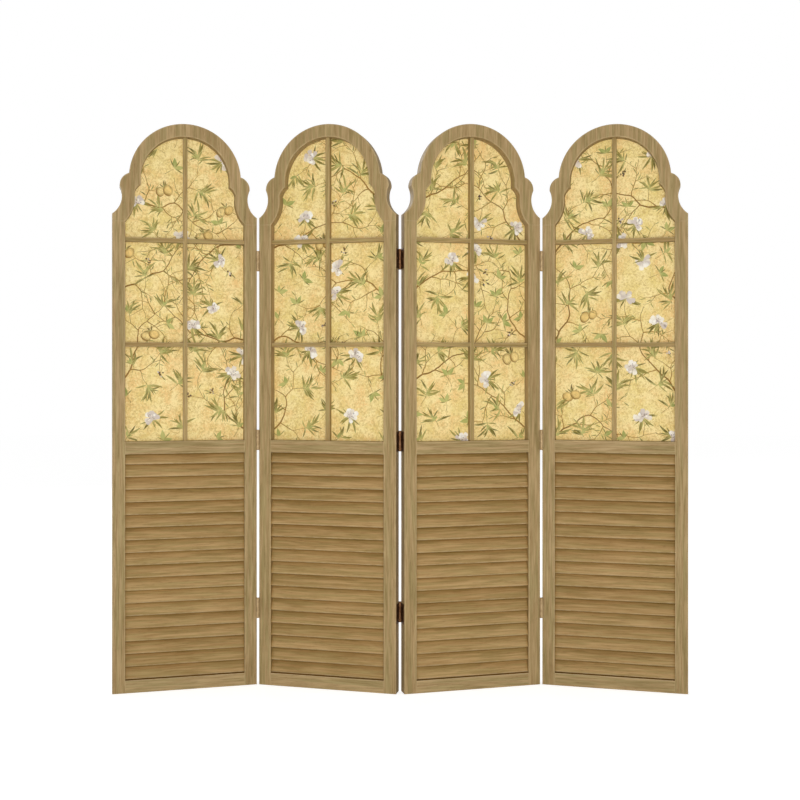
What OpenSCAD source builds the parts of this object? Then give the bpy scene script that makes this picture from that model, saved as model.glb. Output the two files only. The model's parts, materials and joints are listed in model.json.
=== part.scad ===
// Folding room screen of four hinged leaves, standing in a zigzag.
// Each leaf has an arched head with ears, six lights of glazing bars in front of
// a printed panel, and a bank of fixed louvres below. All sizes are millimetres.
//
// A leaf is drawn in its own frame: x across the leaf from its left edge, y from
// the front face to the back face, z up from the floor. Leaves 1 to 4 run from
// left to right, and the hinged joints are numbered 1 to 3 in the same order.

/* [Leaf] */
// Width of one leaf
leaf_w = 455; // [440:1:480]
// Thickness of one leaf
leaf_t = 42; // [40:1:48]
// Height to the top of the arch
leaf_h = 1800; // [1760:10:1900]
// Width of each stile
stile_w = 40; // [38:1:44]
// Turn of each leaf out of the flat line
fold_angle = 14.2; // [5:0.1:30]

/* [Arched head] */
// Outer radius of the crown
crown_r = 176; // [170:1:182]
// Width of the wood at the crown's sides
ring_w = 36; // [32:1:40]
// How far the opening's curves lie below the outer ones
opening_drop = 4.8; // [0:0.1:6]
// Outer radius of the hollow above each shoulder
cove_r = 70; // [66:1:72]
// Drop from the crown's centre to the hollow's centre
cove_drop = 59; // [56:1:62]
// Outer radius of each ear
ear_r = 40.3; // [39:0.1:42]
// Inner radius where the opening swells below the crown
swell_r = 47.5; // [46:0.5:49]

/* [Rails and glazing bars] */
// Height of the bottom rail
bottom_rail_h = 40; // [34:1:40]
// Underside of the middle rail
mid_rail_z = 751; // [750:1:756]
// Height of the middle rail
mid_rail_h = 39; // [36:1:44]
// Height of the lower glazing bar's centre line
low_bar_z = 1097.5; // [1000:0.5:1150]
// Height of the upper glazing bar's centre line
high_bar_z = 1429.5; // [1400:0.5:1440]
// Width of a glazing bar's face
bar_w = 13; // [10:0.5:16]
// Depth of a glazing bar
bar_d = 24; // [16:1:24]
// Set-back of the bars from the front face
bar_inset = 12; // [8:1:12]

/* [Louvres] */
// Number of slats in a leaf
slat_count = 18; // [12:1:18]
// Spacing of the slats
slat_pitch = 39.8; // [38:0.1:40]
// Height of the lowest slat's bottom edge
slat_z = 41.6; // [41:0.1:45]
// Thickness of a slat
slat_t = 8; // [6:0.5:9]
// Width of a slat
slat_w = 52; // [46:1:54]
// Lean of the slats from upright
slat_tilt = 27; // [22:1:30]
// Set-back of the slats from the front face
slat_inset = 5; // [3:0.5:6]

/* [Printed panel] */
// Thickness of the printed board
panel_t = 3; // [2.5:0.5:4]
// Width of the rebate that the board sits in
rebate_w = 10; // [8:1:12]

/* [Hinges] */
// Height of a hinge
hinge_h = 63; // [60:1:75]
// Heights of the hinges' middles
hinge_z = [249, 791, 1368];
// Outer radius of the knuckles
knuckle_r = 5.9; // [5.5:0.1:6]
// Radius of the hinge pin
pin_r = 3.5; // [2.5:0.1:3.8]
// Thickness of a hinge plate
plate_t = 2.2; // [1.8:0.1:2.4]
// Width of a hinge plate across the stile's edge
plate_w = 36; // [30:1:38]
// Gap between the edges of two leaves in line
edge_gap = 3.7; // [2.6:0.1:4]

/* [Hidden] */
$fn = 64;
LEAVES = [1, 2, 3, 4];
JOINTS = [1, 2, 3];
LEAF_PIECES = [
    "stile_left", "stile_right", "arch_head", "mid_rail", "bottom_rail",
    "head_dowels", "glazing_upright", "glazing_bars", "print_panel",
    "retaining_beads", "louvre_slats"
];
JOINT_PIECES = ["hinge_left_plates", "hinge_right_plates", "hinge_pins"];

wood = [0.64, 0.54, 0.38];
slat_wood = [0.60, 0.48, 0.32];
hidden_wood = [0.76, 0.66, 0.48];
print_gold = [0.92, 0.81, 0.52];
bronze = [0.42, 0.27, 0.17];
steel = [0.55, 0.50, 0.42];

overcut = 1;      // how far a cut runs past the face it opens through
fit = 0.1;        // clearance round tenons, slat ends and let-in plates
mid = leaf_w / 2;
opening_half = mid - stile_w;

// The curves of the head, from the crown's centre
crown_z = leaf_h - crown_r;
cove_x = mid + 40;
cove_z = crown_z - cove_drop;
ear_x = 164;
ear_z = crown_z - 25.5;
swell_x = 112.5;
swell_z = crown_z - 54;
// Height at which the inner hollow runs into the stile's straight inner edge
spring_z = cove_z - opening_drop
    - sqrt(pow(cove_r + stile_w, 2) - pow(cove_x - opening_half, 2));

// Depths through the leaf, from the front face
bar_back = bar_inset + bar_d;
panel_back = bar_back + panel_t;
bead_w = rebate_w + 4;
opening_z = mid_rail_z + mid_rail_h;

// Joinery
tenon_t = 12;
tenon_l = 22;
tenon_v = 15;
tenon_shoulder = 5;
bar_tenon_t = 6;
bar_tenon_l = 8;
bar_tenon_v = bar_inset + 7;
lap_v = bar_inset + bar_d / 2;
slat_housing = 8;
dowel_r = 4;
dowel_l = 40;
dowel_v = 17;
dowel_x = [11, 27];    // from the stile's inner edge

// Hinges: the knuckles stand clear of the face by face_gap
face_gap = 0.3;
axis_out = knuckle_r + face_gap;
plate_in = plate_t / 2;
pin_gap = 0.05;
knuckle_count = 5;
knuckle_l = hinge_h / knuckle_count;
knuckle_gap = 0.15;
pin_head_r = 5;
pin_head_h = 1;
screw_r = 1.75;
screw_l = 16;
screw_head_r = 3.4;
screw_head_h = 1.7;
screw_tip_l = 3;
screw_hole_r = 1.9;
slot_w = 0.8;
slot_l = 3.6;
slot_d = 0.9;
// Screws of one plate: [distance in from the face, height from the hinge's middle]
screw_spots = [[12, -22], [26, 0], [12, 22]];
joint_at_back = [false, true, false];

// Where each leaf stands. The middle joint's axis is on x = 0.
function turned(p, a) = [p[0] * cos(a) - p[1] * sin(a), p[0] * sin(a) + p[1] * cos(a)];
function leaf_turn(n) = (n % 2 == 1 ? 1 : -1) * fold_angle;
function axis_spot(right, back) = [
    right ? leaf_w + edge_gap / 2 : -edge_gap / 2,
    back ? leaf_t + axis_out : -axis_out
];
y_front = edge_gap / 2 * sin(fold_angle) - (leaf_t + axis_out) * cos(fold_angle);
y_back = (leaf_w + edge_gap / 2) * sin(fold_angle) - axis_out * cos(fold_angle);
axis_2 = [0, -(y_front + y_back) / 2];
origin_2 = axis_2 - turned(axis_spot(true, true), leaf_turn(2));
origin_3 = axis_2 - turned(axis_spot(false, true), leaf_turn(3));
axis_1 = origin_2 + turned(axis_spot(false, false), leaf_turn(2));
axis_3 = origin_3 + turned(axis_spot(true, false), leaf_turn(3));
origin_1 = axis_1 - turned(axis_spot(true, false), leaf_turn(1));
origin_4 = axis_3 - turned(axis_spot(false, false), leaf_turn(4));
leaf_origins = [origin_1, origin_2, origin_3, origin_4];

// True where leaf n has a hinged joint on that edge
function edge_joint(n, right) = right ? n : n - 1;
function is_hinged(n, right) = edge_joint(n, right) >= 1 && edge_joint(n, right) <= 3;
function at_back(n, right) = joint_at_back[edge_joint(n, right) - 1];

// ---- placing and drawing helpers ----

// Puts a leaf's own frame where leaf n stands
module at_leaf(n) {
    translate(leaf_origins[n - 1]) rotate(leaf_turn(n)) children();
}

// Extrudes an outline of (x from the leaf's middle, z) through the thickness
module slab(v0, v1) {
    translate([mid, v1, 0]) rotate([90, 0, 0]) linear_extrude(v1 - v0) children();
}

// Extrudes a section of (y, z) across the leaf
module across(x0, x1) {
    translate([x0, 0, 0]) rotate([90, 0, 90]) linear_extrude(x1 - x0) children();
}

// A box from its lowest to its highest corner
module block(low, high) {
    translate(low) cube(high - low);
}

// Draws its children on the left edge of a leaf, or mirrored on the right edge
module on_side(right) {
    translate([right ? leaf_w : 0, 0, 0]) mirror([right ? 1 : 0, 0, 0]) children();
}

// Frame of a hinged edge: x out of the edge, y in from the face with the knuckles
module on_left_edge(back) {
    translate([0, back ? leaf_t : 0, 0]) mirror([0, back ? 1 : 0, 0])
        mirror([1, 0, 0]) children();
}

// Head outline: a crown, two ears or swells, two hollows and straight sides
module head_outline(crown, ear, ear_spot, cove, half, z0) {
    difference() {
        union() {
            translate([0, crown_z]) circle(crown);
            translate([-half, z0]) square([2 * half, cove_z - z0]);
            for (side = [-1, 1]) translate([side * ear_spot[0], ear_spot[1]]) circle(ear);
            translate([-ear_spot[0] - ear, z0])
                square([2 * (ear_spot[0] + ear), ear_spot[1] - z0]);
        }
        for (side = [-1, 1]) translate([side * cove_x, cove_z]) circle(cove);
    }
}

// Outline of the lights' opening, grown by d on every side, from height z0 up
module opening_outline(d, z0) {
    translate([0, -opening_drop])
        head_outline(crown_r - ring_w + d, swell_r + d, [swell_x, swell_z],
                     cove_r + stile_w - d, opening_half + d, z0 + opening_drop);
}

// Everything above height z0
module above(z0) {
    intersection() {
        children();
        translate([-leaf_w, z0]) square([2 * leaf_w, leaf_h]);
    }
}

// Section of slat k, grown by d, cut off under the middle rail
module slat_section(k, d) {
    r = slat_t / 2;
    intersection() {
        translate([slat_inset + r, slat_z + k * slat_pitch + r]) rotate(-slat_tilt) {
            circle(r + d);
            translate([0, slat_w - slat_t]) circle(r + d);
            translate([-r - d, 0]) square([slat_t + 2 * d, slat_w - slat_t]);
        }
        square([leaf_t, mid_rail_z - face_gap + d]);
    }
}

// ---- the joinery of one leaf ----

// Mortise in a left stile for a rail's tenon
module rail_mortise(z0, height) {
    block([stile_w - tenon_l - fit, tenon_v - fit, z0 + tenon_shoulder - fit],
          [stile_w + overcut, tenon_v + tenon_t + fit, z0 + height - tenon_shoulder + fit]);
}

// Housing for a glazing bar's tenon
module bar_mortise(z) {
    block([stile_w - bar_tenon_l - fit, bar_tenon_v - fit, z - bar_w / 2 + 1 - fit],
          [stile_w + overcut, bar_tenon_v + bar_tenon_t + fit, z + bar_w / 2 - 1 + fit]);
}

// The let-in bed and pilot holes for one hinge plate, in the frame of the edge
module hinge_bed() {
    block([-plate_in, -overcut, -hinge_h / 2 - fit], [overcut, plate_w + fit, hinge_h / 2 + fit]);
    for (spot = screw_spots)
        translate([0, spot[0], spot[1]]) rotate([0, -90, 0])
            cylinder(h = screw_l - plate_in + fit, r = screw_r + pin_gap);
}

// Upright side member, drawn as the left one of leaf n
module stile(n, right) {
    at_leaf(n) on_side(right) difference() {
        block([0, 0, 0], [stile_w, leaf_t, spring_z]);
        block([stile_w - rebate_w, bar_back, opening_z - rebate_w],
              [stile_w + overcut, leaf_t + overcut, spring_z + overcut]);
        rail_mortise(0, bottom_rail_h);
        rail_mortise(mid_rail_z, mid_rail_h);
        bar_mortise(low_bar_z);
        bar_mortise(high_bar_z);
        across(stile_w - slat_housing - fit, stile_w + overcut)
            for (k = [0 : slat_count - 1]) slat_section(k, fit);
        for (dx = dowel_x)
            translate([stile_w - dx, dowel_v, spring_z - dowel_l / 2 - fit])
                cylinder(h = dowel_l, r = dowel_r + pin_gap);
        if (is_hinged(n, right))
            for (z = hinge_z)
                on_left_edge(at_back(n, right)) translate([0, 0, z]) hinge_bed();
    }
}

module stile_left(n) {
    color(wood) stile(n, false);
}

module stile_right(n) {
    color(wood) stile(n, true);
}

// Curved head, with ears and shoulders, standing on the stiles
module arch_head(n) {
    color(wood) at_leaf(n) difference() {
        slab(0, leaf_t) above(spring_z)
            head_outline(crown_r, ear_r, [ear_x, ear_z], cove_r, mid, mid_rail_z);
        slab(-overcut, leaf_t + overcut) opening_outline(0, mid_rail_z);
        slab(bar_back, leaf_t + overcut) opening_outline(rebate_w, mid_rail_z);
        for (right = [false, true], dx = dowel_x)
            on_side(right) translate([stile_w - dx, dowel_v, spring_z - dowel_l / 2])
                cylinder(h = dowel_l + fit, r = dowel_r + pin_gap);
        block([mid - bar_w / 2 - fit, bar_tenon_v - fit, crown_z],
              [mid + bar_w / 2 + fit, bar_tenon_v + bar_tenon_t + fit,
               leaf_h - ring_w - opening_drop + bar_tenon_l + fit]);
    }
}

// Dowels between the head and the stiles
module head_dowels(n) {
    color(hidden_wood) at_leaf(n)
        for (right = [false, true], dx = dowel_x)
            on_side(right) translate([stile_w - dx, dowel_v, spring_z - dowel_l / 2])
                cylinder(h = dowel_l, r = dowel_r);
}

// A rail with a stub tenon on each end
module rail(z0, height) {
    block([stile_w, 0, z0], [leaf_w - stile_w, leaf_t, z0 + height]);
    block([stile_w - tenon_l, tenon_v, z0 + tenon_shoulder],
          [leaf_w - stile_w + tenon_l, tenon_v + tenon_t, z0 + height - tenon_shoulder]);
}

module mid_rail(n) {
    color(wood) at_leaf(n) difference() {
        rail(mid_rail_z, mid_rail_h);
        block([0, bar_back, opening_z - rebate_w], [leaf_w, leaf_t + overcut, opening_z + overcut]);
        block([mid - bar_w / 2 - fit, bar_tenon_v - fit, opening_z - bar_tenon_l - fit],
              [mid + bar_w / 2 + fit, bar_tenon_v + bar_tenon_t + fit, opening_z + overcut]);
    }
}

module bottom_rail(n) {
    color(wood) at_leaf(n) rail(0, bottom_rail_h);
}

// Upright glazing bar, in front at the half-laps
module glazing_upright(n) {
    top = crown_z - opening_drop + sqrt(pow(crown_r - ring_w, 2) - pow(bar_w / 2, 2));
    color(wood) at_leaf(n) difference() {
        union() {
            block([mid - bar_w / 2, bar_inset, opening_z], [mid + bar_w / 2, bar_back, top]);
            block([mid - bar_w / 2, bar_tenon_v, opening_z - bar_tenon_l],
                  [mid + bar_w / 2, bar_tenon_v + bar_tenon_t, top + bar_tenon_l]);
        }
        for (z = [low_bar_z, high_bar_z])
            block([0, lap_v, z - bar_w / 2], [leaf_w, leaf_t, z + bar_w / 2]);
    }
}

// The two level glazing bars, behind the upright at the half-laps
module glazing_bars(n) {
    color(wood) at_leaf(n) for (z = [low_bar_z, high_bar_z]) difference() {
        union() {
            block([stile_w, bar_inset, z - bar_w / 2], [leaf_w - stile_w, bar_back, z + bar_w / 2]);
            block([stile_w - bar_tenon_l, bar_tenon_v, z - bar_w / 2 + 1],
                  [leaf_w - stile_w + bar_tenon_l, bar_tenon_v + bar_tenon_t, z + bar_w / 2 - 1]);
        }
        block([mid - bar_w / 2, 0, z - bar_w], [mid + bar_w / 2, lap_v, z + bar_w]);
    }
}

// Printed board, held against the back of the glazing bars
module print_panel(n) {
    color(print_gold) at_leaf(n)
        slab(bar_back, panel_back) opening_outline(rebate_w - 1, opening_z - rebate_w + 1);
}

// Four beads that close the rebate behind the board
module retaining_beads(n) {
    edge = rebate_w - fit;
    low = opening_z - edge;
    color(wood) at_leaf(n) {
        for (right = [false, true])
            on_side(right) block([stile_w - edge, panel_back, low],
                                 [stile_w - edge + bead_w, leaf_t, spring_z - fit]);
        block([stile_w - edge + bead_w + fit, panel_back, low],
              [leaf_w - stile_w + edge - bead_w - fit, leaf_t, low + bead_w]);
        slab(panel_back, leaf_t) difference() {
            above(spring_z) opening_outline(edge, mid_rail_z);
            opening_outline(edge - bead_w, mid_rail_z);
        }
    }
}

// Fixed louvre slats, each housed in both stiles
module louvre_slats(n) {
    color(slat_wood) at_leaf(n)
        across(stile_w - slat_housing, leaf_w - stile_w + slat_housing)
            for (k = [0 : slat_count - 1]) slat_section(k, 0);
}

// ---- hinges ----

// One hinge plate with its share of the knuckles, in the frame of the edge
module hinge_plate(outer_knuckles) {
    first = outer_knuckles ? 0 : 1;
    difference() {
        union() {
            block([-plate_in, face_gap, -hinge_h / 2], [plate_in, plate_w, hinge_h / 2]);
            for (k = [first : 2 : knuckle_count - 1])
                translate([0, 0, k * knuckle_l - hinge_h / 2 + knuckle_gap]) {
                    translate([edge_gap / 2, -axis_out, 0])
                        cylinder(h = knuckle_l - 2 * knuckle_gap, r = knuckle_r);
                    block([-plate_in, -axis_out, 0],
                          [plate_in, face_gap, knuckle_l - 2 * knuckle_gap]);
                }
        }
        translate([edge_gap / 2, -axis_out, -hinge_h])
            cylinder(h = 2 * hinge_h, r = pin_r + pin_gap);
        for (spot = screw_spots)
            translate([plate_in, spot[0], spot[1]]) rotate([0, -90, 0]) {
                translate([0, 0, -overcut]) cylinder(h = plate_t + 2 * overcut, r = screw_hole_r);
                cylinder(h = screw_head_h + fit, r1 = screw_head_r + fit, r2 = screw_hole_r);
            }
    }
}

// The three plates that joint j has on its left or its right leaf
module hinge_plates(j, on_left_leaf) {
    n = on_left_leaf ? j : j + 1;
    color(bronze) at_leaf(n) on_side(on_left_leaf) on_left_edge(joint_at_back[j - 1])
        for (z = hinge_z) translate([0, 0, z]) hinge_plate(on_left_leaf);
}

module hinge_left_plates(j) {
    hinge_plates(j, true);
}

module hinge_right_plates(j) {
    hinge_plates(j, false);
}

// The three pins of joint j, each with a button at both ends
module hinge_pins(j) {
    color(bronze) at_leaf(j) on_side(true) on_left_edge(joint_at_back[j - 1])
        for (z = hinge_z) translate([edge_gap / 2, -axis_out, z]) {
            cylinder(h = hinge_h + 2 * face_gap, r = pin_r, center = true);
            for (end = [0, 1]) mirror([0, 0, end])
                translate([0, 0, hinge_h / 2 + face_gap]) {
                    cylinder(h = pin_head_h / 2, r = pin_head_r);
                    translate([0, 0, pin_head_h / 2])
                        cylinder(h = pin_head_h / 2, r1 = pin_head_r, r2 = pin_r);
                }
        }
}

// Countersunk screw with a crossed slot, its head's face at z = 0 and its tip above
module screw() {
    difference() {
        rotate_extrude() polygon([
            [0, 0], [screw_head_r, 0], [screw_r, screw_head_h],
            [screw_r, screw_l - screw_tip_l], [0, screw_l]
        ]);
        for (turn = [0, 90]) rotate(turn)
            block([-slot_l / 2, -slot_w / 2, -overcut], [slot_l / 2, slot_w / 2, slot_d]);
    }
}

// All the hinge screws in leaf n
module hinge_screws(n) {
    color(steel) at_leaf(n)
        for (right = [false, true])
            if (is_hinged(n, right))
                for (z = hinge_z, spot = screw_spots)
                    on_side(right) on_left_edge(at_back(n, right))
                        translate([plate_in, spot[0], z + spot[1]]) rotate([0, -90, 0]) screw();
}

// ---- assembly ----

for (n = LEAVES) {
    stile_left(n);
    stile_right(n);
    arch_head(n);
    mid_rail(n);
    bottom_rail(n);
    head_dowels(n);
    glazing_upright(n);
    glazing_bars(n);
    print_panel(n);
    retaining_beads(n);
    louvre_slats(n);
    hinge_screws(n);
}
for (j = JOINTS) {
    hinge_left_plates(j);
    hinge_right_plates(j);
    hinge_pins(j);
}
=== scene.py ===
"""Folding screen of four hinged leaves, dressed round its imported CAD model.

Every size in the classes is in millimetres, as in the part's source, and a mesh goes
to metres when it is set in place. A leaf is built in its own frame, with x across
from its left edge, y from the front face to the back face and z up, and is then put
where that leaf stands.
"""

import json
import logging
import math
import random
from dataclasses import dataclass, field
from enum import Enum

import bmesh
import bpy
from mathutils import Matrix, Vector

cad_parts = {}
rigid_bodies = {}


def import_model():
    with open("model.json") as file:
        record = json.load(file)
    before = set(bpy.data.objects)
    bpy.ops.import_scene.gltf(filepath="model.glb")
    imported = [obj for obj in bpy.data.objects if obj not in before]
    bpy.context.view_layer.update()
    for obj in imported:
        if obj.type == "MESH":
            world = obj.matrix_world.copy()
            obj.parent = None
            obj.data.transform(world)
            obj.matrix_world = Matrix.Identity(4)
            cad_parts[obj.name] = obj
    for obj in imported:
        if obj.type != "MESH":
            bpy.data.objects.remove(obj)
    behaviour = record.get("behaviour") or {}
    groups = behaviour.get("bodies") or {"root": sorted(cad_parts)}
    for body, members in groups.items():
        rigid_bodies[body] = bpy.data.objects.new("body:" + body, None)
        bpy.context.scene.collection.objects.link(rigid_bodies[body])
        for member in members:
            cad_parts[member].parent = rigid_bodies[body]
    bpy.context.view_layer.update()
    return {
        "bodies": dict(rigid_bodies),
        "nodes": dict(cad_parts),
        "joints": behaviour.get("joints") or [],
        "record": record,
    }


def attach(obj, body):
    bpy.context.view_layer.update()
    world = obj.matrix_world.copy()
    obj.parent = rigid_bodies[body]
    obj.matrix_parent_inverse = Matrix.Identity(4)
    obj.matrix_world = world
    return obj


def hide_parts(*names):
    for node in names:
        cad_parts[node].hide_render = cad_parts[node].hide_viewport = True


LOG = logging.getLogger("folding_screen")
MM = 0.001

Point = tuple[float, float]
Spot = tuple[float, float, float]
Corner = tuple[float, float, float, float]
Colour = tuple[float, float, float, float]
Socket = bpy.types.NodeSocket
Feed = Socket | float | tuple[float, ...] | str | bpy.types.ID
Started = tuple["Canvas", dict[str, Socket], bpy.types.Node]


def paint(red: int, green: int, blue: int) -> Colour:
    """Turns an 8-bit display colour into the linear colour that a node takes."""
    linear = (
        part / 12.92 if part <= 0.04045 else ((part + 0.055) / 1.055) ** 2.4
        for part in (red / 255, green / 255, blue / 255)
    )
    return (*linear, 1.0)


# ---------------------------------------------------------------- node trees


@dataclass
class Canvas:
    """Adds nodes to one tree and links them."""

    tree: bpy.types.NodeTree

    def add(
        self, kind: str, feeds: dict[str | int, Feed] | None = None, **settings: object
    ) -> bpy.types.Node:
        """Adds a node.

        Args:
            kind: Blender's name of the node type.
            feeds: values or other nodes' sockets, by input name or number.
            settings: the node's own properties.

        Returns:
            The new node.
        """
        node = self.tree.nodes.new(kind)
        for name, value in settings.items():
            setattr(node, name, value)
        self.wire(node, feeds or {})
        return node

    def wire(self, node: bpy.types.Node, feeds: dict[str | int, Feed]) -> None:
        """Feeds a node's inputs, by name or number."""
        for key, value in feeds.items():
            self.feed(node.inputs[key], value)

    def feed(self, socket: Socket, value: Feed) -> None:
        """Links a socket to an input, or sets the input's own value."""
        if isinstance(value, Socket):
            self.tree.links.new(value, socket)
        else:
            socket.default_value = value

    def sum(self, kind: str, first: Feed, second: Feed = 0.0, clamp: bool = False) -> Socket:
        """Does arithmetic on two numbers.

        Args:
            kind: the operation, such as MULTIPLY.
            first: the first number or socket.
            second: the second number or socket.
            clamp: whether the answer is held between 0 and 1.

        Returns:
            The answer's socket.
        """
        node = self.add("ShaderNodeMath", {0: first, 1: second}, operation=kind, use_clamp=clamp)
        return node.outputs[0]

    def line(self, value: Feed, slope: float, rise: float, clamp: bool = False) -> Socket:
        """Multiplies a number and adds to it."""
        return self.sum("ADD", self.sum("MULTIPLY", value, slope), rise, clamp)

    def spread(self, value: Feed, low: float, high: float) -> Socket:
        """Stretches a value so that low becomes 0 and high becomes 1, smoothly."""
        feeds = {"Value": value, "From Min": low, "From Max": high}
        return self.add("ShaderNodeMapRange", feeds, interpolation_type="SMOOTHSTEP").outputs[0]

    def blend(self, share: Feed, first: Feed, second: Feed, kind: str = "MIX") -> Socket:
        """Blends two colours by a share from 0 to 1."""
        node = self.add("ShaderNodeMix", {0: share, 6: first, 7: second}, data_type="RGBA", blend_type=kind)
        return node.outputs[2]

    def stretched(self, vector: Feed, x: float, y: float, z: float) -> Socket:
        """Scales a vector by a factor on each axis."""
        return self.add("ShaderNodeVectorMath", {0: vector, 1: (x, y, z)}, operation="MULTIPLY").outputs[0]

    def moved(self, vector: Feed, by: Feed) -> Socket:
        """Adds two vectors."""
        return self.add("ShaderNodeVectorMath", {0: vector, 1: by}, operation="ADD").outputs[0]

    def vector(self, **parts: Feed) -> Socket:
        """Puts a vector together from X, Y and Z, 0 where one isn't given."""
        return self.add("ShaderNodeCombineXYZ", parts).outputs[0]

    def noise(self, vector: Feed, scale: Feed, detail: float = 2.0, distortion: float = 0.0) -> Socket:
        """Reads a noise's value at a vector."""
        feeds = {"Vector": vector, "Scale": scale, "Detail": detail, "Distortion": distortion}
        return self.add("ShaderNodeTexNoise", feeds).outputs[0]

    def attribute(self, name: str, output: str = "Fac") -> Socket:
        """Reads one of a mesh's own attributes, as a number or as its Vector."""
        return self.add("ShaderNodeAttribute", attribute_name=name).outputs[output]

    def bump(self, height: Socket, strength: float, distance: float) -> Socket:
        """Makes a normal from a height."""
        feeds = {"Strength": strength, "Distance": distance, "Height": height}
        return self.add("ShaderNodeBump", feeds).outputs[0]

    def seen(self) -> Socket:
        """Gives 1 where a camera, glossy or transmission ray looks, and 0 elsewhere."""
        rays = self.add("ShaderNodeLightPath").outputs
        direct = self.sum("MAXIMUM", rays["Is Camera Ray"], rays["Is Transmission Ray"])
        return self.sum("MAXIMUM", direct, rays["Is Glossy Ray"])

    def keep(
        self, geometry: Socket, name: str, value: Feed, kind: str = "FLOAT", domain: str = "POINT"
    ) -> Socket:
        """Stores an attribute on a geometry, and gives the geometry back."""
        feeds = {"Geometry": geometry, "Name": name, "Value": value}
        return self.add("GeometryNodeStoreNamedAttribute", feeds, data_type=kind, domain=domain).outputs[0]

    def kept(self, name: str, kind: str = "FLOAT") -> Socket:
        """Reads a stored attribute in a geometry tree."""
        return self.add("GeometryNodeInputNamedAttribute", {"Name": name}, data_type=kind).outputs[0]

    def dressed(self, geometry: Socket, finish: Feed) -> Socket:
        """Gives a geometry its material."""
        return self.add("GeometryNodeSetMaterial", {"Geometry": geometry, "Material": finish}).outputs[0]


def new_object(name: str, data: bpy.types.ID) -> bpy.types.Object:
    """Adds an object to the scene."""
    thing = bpy.data.objects.new(name, data)
    bpy.context.scene.collection.objects.link(thing)
    return thing


def store(mesh: bpy.types.Mesh, name: str, values: list[float], kind: str = "FLOAT_VECTOR") -> None:
    """Keeps an attribute on a mesh's points."""
    data = mesh.attributes.new(name, kind, "POINT").data
    data.foreach_set("vector" if kind == "FLOAT_VECTOR" else "value", values)


def new_group(name: str, numbers: dict[str, float], outputs: tuple[str, ...]) -> Started:
    """Starts a shader node group that reads a vector and some numbers.

    Args:
        name: the group's name.
        numbers: the numbers' first values, by name.
        outputs: names of the numbers that the group puts out.

    Returns:
        The canvas, the inputs' sockets by name, and the output node.
    """
    tree = bpy.data.node_groups.new(name, "ShaderNodeTree")
    tree.interface.new_socket("Vector", in_out="INPUT", socket_type="NodeSocketVector")
    for label, value in numbers.items():
        socket = tree.interface.new_socket(label, in_out="INPUT", socket_type="NodeSocketFloat")
        socket.default_value = value
    for label in outputs:
        tree.interface.new_socket(label, in_out="OUTPUT", socket_type="NodeSocketFloat")
    canvas = Canvas(tree)
    return canvas, dict(canvas.add("NodeGroupInput").outputs.items()), canvas.add("NodeGroupOutput")


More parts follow.
